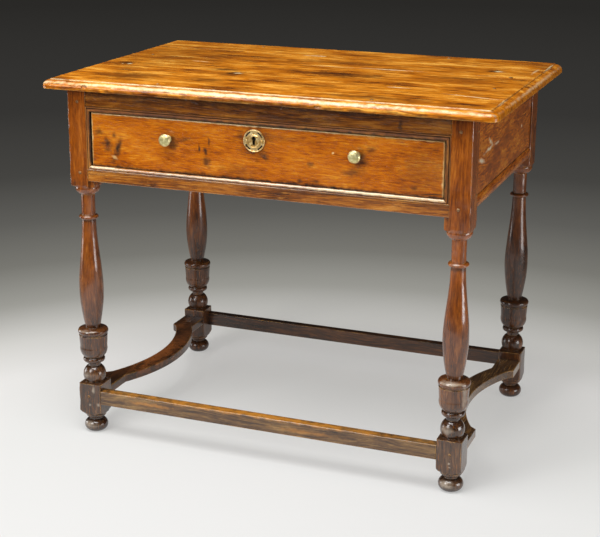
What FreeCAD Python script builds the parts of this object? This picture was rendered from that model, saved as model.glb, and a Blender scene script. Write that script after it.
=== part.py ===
import FreeCAD, Part
import math
import os

os.makedirs("parts", exist_ok=True)

# A tavern table: plank top, one drawer, four turned legs, low stretchers.
# Millimetres, +Z up, front towards -Y, origin on the floor under the middle of the top.

# Whole table
table_height = 720.0
top_length = 880.0
top_depth = 578.0
top_thickness = 18.0
top_side_overhang = 45.0
top_front_overhang = 21.0

# Top planks and their moulded edge
middle_plank_width = 115.0
back_plank_width = 109.0
plank_gap = 0.3
corner_round = 16.0
edge_width = 14.0
edge_step = 2.0
edge_round_drop = 10.5
top_peg_radius = 4.5
top_peg_depth = 34.0
cross_rail_peg_share = 0.6
side_rail_peg_share = 0.3

# Legs: square stock, turned parts from the floor up
leg_stock = 48.0
leg_arris_round = 1.4
foot_pad_radius = 14.0
foot_radius = 23.6
foot_height = 25.0
foot_widest_share = 0.5
foot_neck_radius = 13.2
foot_neck_height = 4.0
lower_bowl_foot_radius = 14.5
lower_bowl_radius = 21.0
lower_bowl_height = 7.0
lower_shoulder_height = 13.0
lower_block_height = 55.0
lower_block_crown = 2.5
ball_seat_radius = 18.5
ball_radius = 22.8
ball_height = 32.0
ball_widest_share = 0.46
ball_top_radius = 14.0
lower_neck_radius = 12.6
lower_neck_height = 8.0
cup_ring_seat_radius = 15.0
cup_ring_radius = 21.8
cup_ring_top_radius = 18.5
cup_ring_height = 11.0
cup_quirk_height = 2.0
cup_base_radius = 21.5
cup_base_height = 20.0
cup_low_radius = 26.8
cup_radius = 28.3
cup_wall_height = 24.0
rim_quirk_radius = 27.0
rim_quirk_height = 2.0
rim_radius = 30.0
rim_height = 11.0
rim_top_radius = 27.6
rim_top_height = 2.0
baluster_foot_radius = 14.6
baluster_belly_radius = 23.8
baluster_top_radius = 13.2
collar_seat_radius = 14.6
collar_radius = 18.9
collar_height = 7.5
upper_neck_radius = 13.5
upper_neck_height = 42.0
upper_bead_radius = 15.0
upper_bead_height = 1.5
upper_bowl_radius = 23.5
upper_bowl_height = 14.0
upper_shoulder_height = 7.0
upper_block_drop = 18.0
high_turned_lift = 14.0
high_turned_legs = ("leg_front_left", "leg_back_right")
baluster_low_height_share = 0.17
baluster_low_swell_share = 0.74
baluster_belly_height_share = 0.39
baluster_high_height_share = 0.67
baluster_high_swell_share = 0.50
baluster_slim_height_share = 0.86
baluster_slim_swell_share = 0.15

# Rails of the frame
front_top_rail_height = 42.0
front_bottom_rail_height = 32.0
front_rail_thickness = 22.0
front_rail_setback = 1.0
side_rail_height = 170.0
side_rail_thickness = 20.0
side_rail_setback = 4.0
side_bead_height = 22.0
side_bead_rise = 3.0
side_quirk = 1.6
rail_arris_round = 1.2
tenon_thickness = 9.0
front_tenon_length = 36.0
side_tenon_length = 24.0
tenon_top_inset = 12.0
tenon_bottom_inset = 5.0
joint_clearance = 0.2

# Moulding round the drawer opening
opening_height = 104.0
moulding_width = 9.5
moulding_seat_depth = 6.0
large_bead_width = 6.2
large_bead_rise = 3.0
small_bead_width = 2.4
small_bead_rise = 1.0
quirk_depth = 1.6

# Stretchers
stretcher_height = 28.0
stretcher_thickness = 19.0
stretcher_rise = 15.0
stretcher_setback = 1.5
stretcher_tenon_thickness = 8.0
stretcher_tenon_inset = 4.0
stretcher_arris_round = 2.0
end_stretcher_thickness = 16.0
end_stretcher_rise = 24.0
end_stretcher_setback = 0.8
end_straight_length = 60.0
cusp_step_in = 11.0
cusp_step_along = 9.0
bow_width = 38.0
bow_depth = 42.0
end_tenon_length = 22.0
end_tenon_width = 30.0
end_tenon_height = 10.0
end_arris_round = 1.2

# Wooden pegs through the tenons
peg_radius = 3.5
peg_length = 30.0
stretcher_peg_length = 22.0
front_peg_inset = 26.0
side_peg_inset = 11.0
side_peg_edge = 28.0
peg_clearance = 0.1

# Drawer
drawer_side_clearance = 1.5
drawer_lift = 0.4
drawer_top_clearance = 1.5
drawer_front_setback = 2.0
drawer_front_thickness = 20.0
drawer_arris_round = 1.8
drawer_rear_space = 15.0
drawer_side_thickness = 11.0
drawer_side_inset = 1.0
drawer_side_drop = 3.0
drawer_back_thickness = 13.0
drawer_back_drop = 9.0
drawer_lap = 6.0
tail_half_width = 13.0
tail_flare = 3.5
tail_place_shares = (0.30, 0.74)
bottom_thickness = 8.0
bottom_rise = 1.6
bottom_rebate = 6.0
bottom_board_gap = 0.4
bottom_board_count = 3

# Runners, guides, kickers and stops
runner_height = 22.0
runner_inner_reach = 6.0
runner_clearance = 0.5
guide_height = 18.0
guide_clearance = 1.2
kicker_height = 20.0
stop_height = 12.0
stop_width = 14.0
stop_clearance = 0.5
nail_shank_radius = 1.8
nail_head_radius = 4.4
nail_head_height = 1.8
nail_hold = 13.0
nail_clearance = 0.05
runner_nail_shares = (-0.7, 0.0, 0.7)
bottom_nail_hold = 14.0
bottom_nail_radius = 1.2
bottom_nail_head_radius = 2.6
bottom_nail_head_height = 1.2
bottom_nail_shares = (-0.85, -0.5, -0.16, 0.16, 0.5, 0.85)

# Brass knobs
knob_spacing = 370.0
knob_above_middle = 13.0
knob_collar_radius = 7.4
knob_collar_height = 2.2
knob_neck_radius = 4.6
knob_neck_length = 5.6
knob_radius = 11.6
knob_flare_length = 7.4
knob_rim_length = 2.6
knob_face_radius = 9.6
knob_dome = 1.4
knob_shank_radius = 2.6
knob_shank_reach = 6.0
knob_nut_width = 11.0
knob_nut_height = 3.6

# Escutcheon and keyhole
lock_side_offset = -11.0
keyhole_drop = 27.5
escutcheon_radius = 21.0
escutcheon_thickness = 1.4
escutcheon_rim_width = 2.4
escutcheon_rim_rise = 1.1
escutcheon_groove_width = 1.6
escutcheon_groove_depth = 0.6
escutcheon_boss_radius = 11.0
escutcheon_boss_rise = 1.1
keyhole_radius = 4.2
keyhole_slot_width = 5.0
keyhole_slot_drop = 11.5
keyhole_rise = 4.0
escutcheon_pin_place = 15.0
escutcheon_pin_radius = 1.1
escutcheon_pin_head_radius = 2.0
escutcheon_pin_head_rise = 1.0
escutcheon_pin_length = 9.0

# Iron drawer lock
lock_width = 52.0
lock_height = 46.0
lock_depth = 11.0
lock_wall = 2.0
lock_plate_margin = 7.0
lock_clearance = 0.3
bolt_width = 34.0
bolt_thickness = 4.0
bolt_height = 26.0
bolt_travel = 8.0
bolt_clearance = 0.3
bolt_notch_width = 5.0
bolt_notch_height = 6.0
key_pin_radius = 1.3
strike_margin = 1.5
lock_nail_radius = 1.4
lock_nail_head_radius = 3.0
lock_nail_head_height = 1.2
lock_nail_hold = 9.0

# Working values
cut_overrun = 5.0
match_tolerance = 0.01
round_mid_share = math.sqrt(0.5)

# Places that follow from the sizes
leg_top = table_height - top_thickness
leg_x = top_length / 2 - top_side_overhang - leg_stock / 2
leg_y = top_depth / 2 - top_front_overhang - leg_stock / 2
leg_inner_x = leg_x - leg_stock / 2
leg_outer_x = leg_x + leg_stock / 2
leg_inner_y = leg_y - leg_stock / 2
leg_outer_y = leg_y + leg_stock / 2
opening_top = leg_top - front_top_rail_height
opening_bottom = opening_top - opening_height
front_rail_bottom = opening_bottom - front_bottom_rail_height
side_rail_bottom = leg_top - side_rail_height
upper_block_bottom = front_rail_bottom - upper_block_drop
bowl_bottom = upper_block_bottom - upper_shoulder_height - upper_bowl_height
lower_block_bottom = foot_height + foot_neck_height + lower_bowl_height + lower_shoulder_height
stretcher_bottom = lower_block_bottom + stretcher_rise
end_stretcher_bottom = lower_block_bottom + end_stretcher_rise
seat_y = -leg_outer_y + moulding_seat_depth
front_rail_face = -leg_outer_y + front_rail_setback
front_rail_back = front_rail_face + front_rail_thickness
back_rail_face = leg_outer_y - side_rail_setback - side_rail_thickness
side_rail_outer = leg_outer_x - side_rail_setback
side_rail_inner = side_rail_outer - side_rail_thickness
drawer_face = -leg_outer_y + drawer_front_setback
drawer_inside_face = drawer_face + drawer_front_thickness
drawer_rear = back_rail_face - drawer_rear_space
drawer_half = leg_inner_x - drawer_side_clearance
drawer_bottom_edge = opening_bottom + drawer_lift
drawer_top_edge = opening_top - drawer_top_clearance
side_outer = drawer_half - drawer_side_inset
side_inner = side_outer - drawer_side_thickness
side_top_edge = drawer_top_edge - drawer_side_drop
bottom_under = drawer_bottom_edge + bottom_rise
bottom_upper = bottom_under + bottom_thickness
keyhole_z = drawer_top_edge - keyhole_drop
eye_z = keyhole_z + keyhole_rise
knob_x = knob_spacing / 2
knob_z = (drawer_bottom_edge + drawer_top_edge) / 2 + knob_above_middle


def vec(x, y, z):
    """Point or direction."""
    return FreeCAD.Vector(x, y, z)


def box(x0, x1, y0, y1, z0, z1):
    """Block between two limits on each axis, given in either order."""
    low = vec(min(x0, x1), min(y0, y1), min(z0, z1))
    return Part.makeBox(abs(x1 - x0), abs(y1 - y0), abs(z1 - z0), low)


def rod(radius, start, end):
    """Round rod from one point to another."""
    return Part.makeCylinder(radius, (end - start).Length, start, end - start)


def grown(block, margin):
    """Box around a block with the same margin on all sides."""
    b = block.BoundBox
    return box(b.XMin - margin, b.XMax + margin, b.YMin - margin, b.YMax + margin,
               b.ZMin - margin, b.ZMax + margin)


def edges_at(shape, x=None, y=None, z=None):
    """Edges that lie wholly at the coordinates given."""
    found = []
    for edge in shape.Edges:
        b = edge.BoundBox
        spans = ((x, b.XMin, b.XMax), (y, b.YMin, b.YMax), (z, b.ZMin, b.ZMax))
        if all(at is None or max(abs(low - at), abs(high - at)) < match_tolerance
               for at, low, high in spans):
            found.append(edge)
    return found


def joined(first, *others):
    """One solid from pieces that touch or overlap."""
    return first.multiFuse(list(others)).removeSplitter()


def cut(shape, cutters):
    """Shape with all the cutters taken out of it."""
    if not cutters:
        return shape
    return shape.cut(list(cutters))


def save(name, *solids):
    """Writes a piece, or several alike under one name."""
    shape = solids[0] if len(solids) == 1 else Part.makeCompound(list(solids))
    shape.exportStep("parts/" + name + ".step")


def mirror_x(shape):
    """The same shape on the other side of the table."""
    return shape.mirror(vec(0, 0, 0), vec(1, 0, 0))


def mirror_y(shape):
    """The same shape at the other end of the table's depth."""
    return shape.mirror(vec(0, 0, 0), vec(0, 1, 0))


class Outline:
    """Half outline of a turning: starts on its axis and moves by radius and rise."""

    def __init__(self):
        self.at = vec(0, 0, 0)
        self.edges = []

    def line(self, radius, rise):
        end = vec(radius, 0, self.at.z + rise)
        if (end - self.at).Length > match_tolerance:
            self.edges.append(Part.makeLine(self.at, end))
            self.at = end

    def swell(self, radius, share, end_radius, rise):
        """Round moulding through its widest radius, at a share of its rise."""
        end = vec(end_radius, 0, self.at.z + rise)
        middle = vec(radius, 0, self.at.z + rise * share)
        self.edges.append(Part.Arc(self.at, middle, end).toShape())
        self.at = end

    def shoulder(self, end_radius, rise):
        """Quarter round that opens outwards and upwards."""
        end = vec(end_radius, 0, self.at.z + rise)
        out = self.at.x + (end_radius - self.at.x) * round_mid_share
        middle = vec(out, 0, self.at.z + rise * (1 - round_mid_share))
        self.edges.append(Part.Arc(self.at, middle, end).toShape())
        self.at = end

    def bead(self, width, rise):
        """Round bead on a flat face, worked inwards from here."""
        end = self.at - vec(width, 0, 0)
        middle = (self.at + end) / 2 + vec(0, 0, rise)
        self.edges.append(Part.Arc(self.at, middle, end).toShape())
        self.at = end

    def dome(self, rise):
        """Part of a ball, from here up to the axis."""
        radius = (self.at.x ** 2 + rise ** 2) / (2 * rise)
        half_angle = math.asin(self.at.x / radius) / 2
        end = vec(0, 0, self.at.z + rise)
        middle = end - vec(0, 0, radius) + vec(math.sin(half_angle), 0, math.cos(half_angle)) * radius
        self.edges.append(Part.Arc(self.at, middle, end).toShape())
        self.at = end

    def curve(self, points):
        """Smooth curve through pairs of radius and rise, measured from here."""
        base = self.at
        places = [base] + [vec(radius, 0, base.z + rise) for radius, rise in points]
        spline = Part.BSplineCurve()
        spline.interpolate(places)
        self.edges.append(spline.toShape())
        self.at = places[-1]

    def solid(self):
        """Solid of revolution, closed along the axis."""
        self.line(0, 0)
        self.edges.append(Part.makeLine(self.at, vec(0, 0, 0)))
        face = Part.Face(Part.Wire(self.edges))
        return face.revolve(vec(0, 0, 0), vec(0, 0, 1), 360)


def turned_along_y(outline, x, y, z):
    """Turning laid down so that it stands out towards the front from a point."""
    shape = outline.solid()
    shape.rotate(vec(0, 0, 0), vec(1, 0, 0), 90)
    shape.translate(vec(x, y, z))
    return shape


def leg_blank(lift):
    """Leg on its own axis: a turning with its blocks planed square; only the cup is wider.

    The lift is how much higher than usual the turning runs before the upper block.
    """
    block_radius = leg_stock * round_mid_share + cut_overrun
    cup_foot = (lower_block_bottom + lower_block_height + lower_block_crown + ball_height + lower_neck_height
                + cup_ring_height)
    below = (cup_foot + cup_quirk_height + cup_base_height + cup_wall_height + rim_quirk_height + rim_height
             + rim_top_height)
    above = bowl_bottom + lift - upper_bead_height - upper_neck_height - collar_height
    height = above - below
    swell = baluster_belly_radius - baluster_top_radius
    o = Outline()
    o.line(foot_pad_radius, 0)
    o.swell(foot_radius, foot_widest_share, foot_neck_radius, foot_height)
    o.line(foot_neck_radius, foot_neck_height)
    o.line(lower_bowl_foot_radius, 0)
    o.shoulder(lower_bowl_radius, lower_bowl_height)
    o.line(block_radius, lower_shoulder_height)
    o.line(block_radius, lower_block_height)
    o.line(ball_seat_radius, lower_block_crown)
    o.swell(ball_radius, ball_widest_share, ball_top_radius, ball_height)
    o.line(lower_neck_radius, 0)
    o.line(lower_neck_radius, lower_neck_height)
    o.line(cup_ring_seat_radius, 0)
    o.swell(cup_ring_radius, foot_widest_share, cup_ring_top_radius, cup_ring_height)
    o.line(cup_ring_top_radius, cup_quirk_height)
    o.line(cup_base_radius, 0)
    o.shoulder(cup_low_radius, cup_base_height)
    o.line(cup_radius, cup_wall_height)
    o.line(rim_quirk_radius, 0)
    o.line(rim_quirk_radius, rim_quirk_height)
    o.swell(rim_radius, foot_widest_share, rim_top_radius, rim_height)
    o.line(baluster_foot_radius, rim_top_height)
    low = baluster_top_radius + swell * baluster_low_swell_share
    high = baluster_top_radius + swell * baluster_high_swell_share
    slim = baluster_top_radius + swell * baluster_slim_swell_share
    o.curve([(low, height * baluster_low_height_share),
             (baluster_belly_radius, height * baluster_belly_height_share),
             (high, height * baluster_high_height_share),
             (slim, height * baluster_slim_height_share),
             (baluster_top_radius, height)])
    o.line(collar_seat_radius, 0)
    o.swell(collar_radius, foot_widest_share, collar_seat_radius, collar_height)
    o.line(upper_neck_radius, 0)
    o.line(upper_neck_radius, upper_neck_height)
    o.line(upper_bead_radius, upper_bead_height)
    o.shoulder(upper_bowl_radius, upper_bowl_height)
    o.line(block_radius, upper_shoulder_height)
    o.line(block_radius, leg_top - upper_block_bottom - lift)
    o.line(0, 0)
    half = leg_stock / 2
    stock = box(-half, half, -half, half, 0, leg_top)
    corners = [e for sx in (-half, half) for sy in (-half, half) for e in edges_at(stock, x=sx, y=sy)]
    cup_room = rod(rim_radius + cut_overrun, vec(0, 0, cup_foot), vec(0, 0, below))
    return o.solid().common(joined(stock.makeFillet(leg_arris_round, corners), cup_room))


def x_tenons(y_middle, z0, z1, length, thickness):
    """Tenons at both ends of a rail that runs across the front or back."""
    half = thickness / 2
    return [box(s * leg_inner_x, s * (leg_inner_x + length), y_middle - half, y_middle + half, z0, z1)
            for s in (-1, 1)]


def y_tenons(x_middle, width, z0, z1, length):
    """Tenons at both ends of a piece that runs along one side."""
    half = width / 2
    return [box(x_middle - half, x_middle + half, s * leg_inner_y, s * (leg_inner_y + length), z0, z1)
            for s in (-1, 1)]


# Pegs and the tenons that they lock

rail_peg_places = []
stretcher_peg_places = []
front_rail_middle = (seat_y + front_rail_back) / 2
top_tenons = x_tenons(front_rail_middle, opening_top + tenon_bottom_inset, leg_top - tenon_top_inset,
                      front_tenon_length, tenon_thickness)
bottom_tenons = x_tenons(front_rail_middle, front_rail_bottom + tenon_bottom_inset,
                         opening_bottom - tenon_bottom_inset, front_tenon_length, tenon_thickness)
back_tenons = x_tenons(back_rail_face + side_rail_thickness / 2, side_rail_bottom + tenon_bottom_inset,
                       leg_top - tenon_top_inset, front_tenon_length, tenon_thickness)
side_rail_middle = (side_rail_inner + side_rail_outer) / 2
side_tenons = y_tenons(side_rail_middle, tenon_thickness, side_rail_bottom + tenon_bottom_inset,
                       leg_top - tenon_top_inset, side_tenon_length)
stretcher_face = leg_outer_y - stretcher_setback
stretcher_middle = stretcher_face - stretcher_thickness / 2
stretcher_tenons = x_tenons(-stretcher_middle, stretcher_bottom + stretcher_tenon_inset,
                            stretcher_bottom + stretcher_height - stretcher_tenon_inset,
                            front_tenon_length, stretcher_tenon_thickness)
end_middle_z = end_stretcher_bottom + end_stretcher_thickness / 2
end_tenons = y_tenons(leg_x, end_tenon_width, end_middle_z - end_tenon_height / 2,
                      end_middle_z + end_tenon_height / 2, end_tenon_length)

peg_x = leg_inner_x + front_peg_inset
for side in (-1, 1):
    for z in ((opening_top + tenon_bottom_inset + leg_top - tenon_top_inset) / 2,
              (front_rail_bottom + opening_bottom) / 2):
        rail_peg_places.append((vec(side * peg_x, -leg_outer_y, z), vec(0, 1, 0)))
    for z in (side_rail_bottom + side_peg_edge, leg_top - side_peg_edge):
        rail_peg_places.append((vec(side * peg_x, leg_outer_y, z), vec(0, -1, 0)))
        for end in (-1, 1):
            place = vec(side * leg_outer_x, end * (leg_inner_y + side_peg_inset), z)
            rail_peg_places.append((place, vec(-side, 0, 0)))
    for end in (-1, 1):
        place = vec(side * peg_x, end * leg_outer_y, stretcher_bottom + stretcher_height / 2)
        stretcher_peg_places.append((place, vec(0, -end, 0)))

rail_pegs = [rod(peg_radius, at, at + way * peg_length) for at, way in rail_peg_places]
stretcher_pegs = [rod(peg_radius, at, at + way * stretcher_peg_length) for at, way in stretcher_peg_places]
peg_rows = ((rail_peg_places, peg_length), (stretcher_peg_places, stretcher_peg_length))
peg_holes = [rod(peg_radius + peg_clearance, at - way * cut_overrun, at + way * (length + peg_clearance))
             for places, length in peg_rows for at, way in places]
save("rail_pegs", *rail_pegs)
save("stretcher_pegs", *stretcher_pegs)

# Pegs that hold the top down: two in each rail

top_peg_places = []
for side in (-1, 1):
    for y in ((front_rail_face + front_rail_back) / 2, back_rail_face + side_rail_thickness / 2):
        top_peg_places.append((side * leg_inner_x * cross_rail_peg_share, y))
    for end in (-1, 1):
        top_peg_places.append((side * side_rail_middle, end * leg_inner_y * side_rail_peg_share))
top_pegs = [rod(top_peg_radius, vec(x, y, table_height - top_peg_depth), vec(x, y, table_height))
            for x, y in top_peg_places]
top_peg_holes = [rod(top_peg_radius + peg_clearance, vec(x, y, table_height - top_peg_depth - peg_clearance),
                     vec(x, y, table_height + cut_overrun)) for x, y in top_peg_places]
save("top_pegs", *top_pegs)


# Top: one moulded slab, parted into planks

def edge_waste():
    """What the moulding plane takes off, as a face at a corner's centre in the XZ plane."""
    start = vec(corner_round - edge_width, 0, table_height - edge_step)
    end = vec(corner_round, 0, start.z - edge_round_drop)
    middle = vec(start.x + (end.x - start.x) * round_mid_share, 0,
                 end.z + (start.z - end.z) * round_mid_share)
    outer = corner_round + cut_overrun
    high = table_height + cut_overrun
    points = [end, vec(outer, 0, end.z), vec(outer, 0, high), vec(start.x, 0, high), start]
    edges = [Part.makeLine(a, b) for a, b in zip(points, points[1:])]
    edges.append(Part.Arc(start, middle, end).toShape())
    return Part.Face(Part.Wire(edges))


def top_slab():
    half_x = top_length / 2
    half_y = top_depth / 2
    slab = box(-half_x, half_x, -half_y, half_y, leg_top, table_height)
    corners = [e for x in (-half_x, half_x) for y in (-half_y, half_y) for e in edges_at(slab, x=x, y=y)]
    slab = slab.makeFillet(corner_round, corners)
    core_x = half_x - corner_round
    core_y = half_y - corner_round
    waste = []
    sides = ((0, core_x, core_y), (90, core_y, core_x), (180, core_x, core_y), (270, core_y, core_x))
    for turn, reach, run in sides:
        straight = edge_waste()
        straight.translate(vec(reach, -run, 0))
        straight = straight.extrude(vec(0, 2 * run, 0))
        bend = edge_waste().revolve(vec(0, 0, 0), vec(0, 0, 1), 90)
        bend.translate(vec(reach, run, 0))
        for piece in (straight, bend):
            piece.rotate(vec(0, 0, 0), vec(0, 0, 1), turn)
            waste.append(piece)
    return cut(slab, waste + top_peg_holes)


slab = top_slab()
second_joint = top_depth / 2 - back_plank_width
first_joint = second_joint - middle_plank_width
plank_limits = (("front", -top_depth / 2 - cut_overrun, first_joint),
                ("middle", first_joint + plank_gap, second_joint),
                ("back", second_joint + plank_gap, top_depth / 2 + cut_overrun))
for name, near, far in plank_limits:
    reach = top_length / 2 + cut_overrun
    piece = slab.common(box(-reach, reach, near, far, leg_top - cut_overrun, table_height + cut_overrun))
    save("top_board_" + name, *piece.Solids)

# Legs

all_tenons = top_tenons + bottom_tenons + back_tenons + side_tenons + end_tenons + stretcher_tenons
all_tenons += [mirror_x(t) for t in side_tenons + end_tenons] + [mirror_y(t) for t in stretcher_tenons]
mortises = [grown(t, joint_clearance) for t in all_tenons]
moulding_rebates = [box(s * (leg_inner_x - cut_overrun), s * (leg_inner_x + moulding_width), seat_y,
                        -leg_outer_y - cut_overrun, bowl_bottom, leg_top + cut_overrun) for s in (-1, 1)]
for side, side_name in ((-1, "left"), (1, "right")):
    for end, end_name in ((-1, "front"), (1, "back")):
        leg_name = "leg_" + end_name + "_" + side_name
        leg = leg_blank(high_turned_lift if leg_name in high_turned_legs else 0)
        leg.translate(vec(side * leg_x, end * leg_y, 0))
        save(leg_name, cut(leg, mortises + peg_holes + moulding_rebates))


# Front rails, with lips that fill the rebates in the legs

def front_rail(z0, z1, moulded_at, tenons):
    """Rail over or under the drawer; moulded_at is the edge that carries the moulding."""
    away = 1 if moulded_at == z0 else -1
    plain_edge = z1 if moulded_at == z0 else z0
    seat_end = moulded_at + away * (moulding_width + joint_clearance)
    body = box(-leg_inner_x, leg_inner_x, front_rail_face, front_rail_back, z0, z1)
    reach = leg_inner_x + moulding_width - joint_clearance
    lip = box(-reach, reach, front_rail_face, seat_y - joint_clearance, seat_end, plain_edge)
    seat = box(-leg_outer_x, leg_outer_x, front_rail_face - cut_overrun, seat_y,
               moulded_at - away * cut_overrun, seat_end)
    body = joined(body, lip)
    if plain_edge == z0:
        body = body.makeFillet(rail_arris_round, edges_at(body, y=front_rail_face, z=z0))
    return cut(joined(body, *tenons), peg_holes + [seat])


strike_half = bolt_width / 2 + strike_margin
strike_front = drawer_inside_face - bolt_thickness - bolt_clearance - strike_margin
strike_top = opening_top + bolt_travel + strike_margin
strike = box(lock_side_offset - strike_half, lock_side_offset + strike_half, strike_front,
             front_rail_back + cut_overrun, opening_top - cut_overrun, strike_top)
top_rail = front_rail(opening_top, leg_top, opening_top, top_tenons)
save("front_top_rail", cut(top_rail, top_peg_holes + [strike]))
save("front_bottom_rail", front_rail(front_rail_bottom, opening_bottom, opening_bottom, bottom_tenons))

# Runners, guides, kickers and their nails, made for the right side

runner_inner = side_inner - runner_inner_reach
runner_front = front_rail_back
runner_rear = back_rail_face
nail_places = []
for z in (opening_bottom - runner_height / 2, opening_top + kicker_height / 2):
    for share in runner_nail_shares:
        nail_places.append(vec(runner_inner, leg_inner_y * share, z))


def nail(at, way, length, radius, head_radius, head_height, margin=0):
    """Nail driven from a point, its head standing inwards from there."""
    shank = rod(radius + margin, at, at + way * (length + margin))
    head = rod(head_radius + margin, at, at + way * head_height)
    return joined(shank, head)


runner_nail_length = side_rail_inner - runner_inner + nail_hold
runner_nails = [nail(at, vec(1, 0, 0), runner_nail_length, nail_shank_radius, nail_head_radius,
                     nail_head_height) for at in nail_places]
runner_nail_holes = [nail(at, vec(1, 0, 0), runner_nail_length, nail_shank_radius, nail_head_radius,
                          nail_head_height, nail_clearance) for at in nail_places]
save("runner_nails", *runner_nails, *[mirror_x(n) for n in runner_nails])


def carriage_strip(inner, z0, z1):
    """Strip nailed to a side rail, with a tongue that passes the legs to both cross rails."""
    strip = box(inner, side_rail_inner, -leg_inner_y, leg_inner_y, z0, z1)
    tongue = box(inner, leg_inner_x - runner_clearance, runner_front, runner_rear, z0, z1)
    return cut(joined(strip, tongue), runner_nail_holes)


runner = carriage_strip(runner_inner, opening_bottom - runner_height, opening_bottom)
kicker = carriage_strip(runner_inner, opening_top, opening_top + kicker_height)
guide = box(side_outer + guide_clearance, side_rail_inner, -leg_inner_y, leg_inner_y,
            opening_bottom, opening_bottom + guide_height)
stop = box(side_outer - stop_width, side_outer, drawer_rear + stop_clearance, back_rail_face,
           opening_bottom, opening_bottom + stop_height)
for name, shape in (("runner", runner), ("guide", guide), ("kicker", kicker)):
    save("right_drawer_" + name, shape)
    save("left_drawer_" + name, mirror_x(shape))
save("drawer_stops", stop, mirror_x(stop))


# Back rail and side rails

def side_rail():
    """Right rail: flat face with a bead worked along its lower edge."""
    bead_top = side_rail_bottom + side_bead_height
    points = [vec(side_rail_outer, 0, leg_top), vec(side_rail_outer, 0, bead_top + side_quirk),
              vec(side_rail_outer - side_quirk, 0, bead_top), vec(side_rail_outer, 0, bead_top)]
    bead_end = vec(side_rail_outer, 0, side_rail_bottom)
    bead_crest = vec(side_rail_outer + side_bead_rise, 0, (bead_top + side_rail_bottom) / 2)
    edges = [Part.makeLine(a, b) for a, b in zip(points, points[1:])]
    edges.append(Part.Arc(points[-1], bead_crest, bead_end).toShape())
    inside = [bead_end, vec(side_rail_inner, 0, side_rail_bottom), vec(side_rail_inner, 0, leg_top)]
    inside.append(points[0])
    edges += [Part.makeLine(a, b) for a, b in zip(inside, inside[1:])]
    face = Part.Face(Part.Wire(edges))
    face.translate(vec(0, -leg_inner_y, 0))
    return face.extrude(vec(0, 2 * leg_inner_y, 0))


right_rail = cut(joined(side_rail(), *side_tenons), peg_holes + top_peg_holes + runner_nail_holes)
save("right_side_rail", right_rail)
save("left_side_rail", mirror_x(right_rail))

back_body = box(-leg_inner_x, leg_inner_x, back_rail_face, back_rail_face + side_rail_thickness,
                side_rail_bottom, leg_top)
save("back_rail", cut(joined(back_body, *back_tenons), peg_holes + top_peg_holes))


# Moulding round the drawer opening

def moulding_strip(half_length):
    """Mitred strip along X; the opening lies above its edge at zero height, its seat at zero depth."""
    quirk_width = moulding_width - large_bead_width - small_bead_width
    places = [0, large_bead_width, large_bead_width + quirk_width, moulding_width]
    ends = [vec(0, -moulding_seat_depth, -place) for place in places]
    crest_large = vec(0, -moulding_seat_depth - large_bead_rise, -large_bead_width / 2)
    crest_small = vec(0, -moulding_seat_depth - small_bead_rise, -(places[2] + places[3]) / 2)
    valley = vec(0, -moulding_seat_depth + quirk_depth, -(places[1] + places[2]) / 2)
    edges = [Part.makeLine(vec(0, 0, 0), ends[0]),
             Part.Arc(ends[0], crest_large, ends[1]).toShape(),
             Part.makeLine(ends[1], valley), Part.makeLine(valley, ends[2]),
             Part.Arc(ends[2], crest_small, ends[3]).toShape(),
             Part.makeLine(ends[3], vec(0, 0, -moulding_width)),
             Part.makeLine(vec(0, 0, -moulding_width), vec(0, 0, 0))]
    face = Part.Face(Part.Wire(edges))
    reach = half_length + moulding_width
    face.translate(vec(-reach, 0, 0))
    bar = face.extrude(vec(2 * reach, 0, 0))
    far = -moulding_seat_depth - cut_overrun
    corners = [vec(-reach, far, -moulding_width), vec(reach, far, -moulding_width), vec(half_length, far, 0),
               vec(-half_length, far, 0), vec(-reach, far, -moulding_width)]
    mitre = Part.Face(Part.makePolygon(corners)).extrude(vec(0, cut_overrun - far, 0))
    return bar.common(mitre)


opening_middle = (opening_bottom + opening_top) / 2
strip_places = (("bottom", leg_inner_x, 0, vec(0, seat_y, opening_bottom)),
                ("top", leg_inner_x, 180, vec(0, seat_y, opening_top)),
                ("left", opening_height / 2, 90, vec(-leg_inner_x, seat_y, opening_middle)),
                ("right", opening_height / 2, -90, vec(leg_inner_x, seat_y, opening_middle)))
for name, half_length, turn, place in strip_places:
    strip = moulding_strip(half_length)
    strip.rotate(vec(0, 0, 0), vec(0, 1, 0), turn)
    strip.translate(place)
    save("opening_moulding_" + name, strip)

# Straight stretchers

stretcher_top = stretcher_bottom + stretcher_height
stretcher_body = box(-leg_inner_x, leg_inner_x, -stretcher_face, -stretcher_face + stretcher_thickness,
                     stretcher_bottom, stretcher_top)
stretcher_body = stretcher_body.makeFillet(stretcher_arris_round, edges_at(stretcher_body, z=stretcher_top,
                                                                           y=-stretcher_face))
front_stretcher = cut(joined(stretcher_body, *stretcher_tenons), peg_holes)
save("front_stretcher", front_stretcher)
save("back_stretcher", mirror_y(front_stretcher))


# Bowed end stretchers

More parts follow.
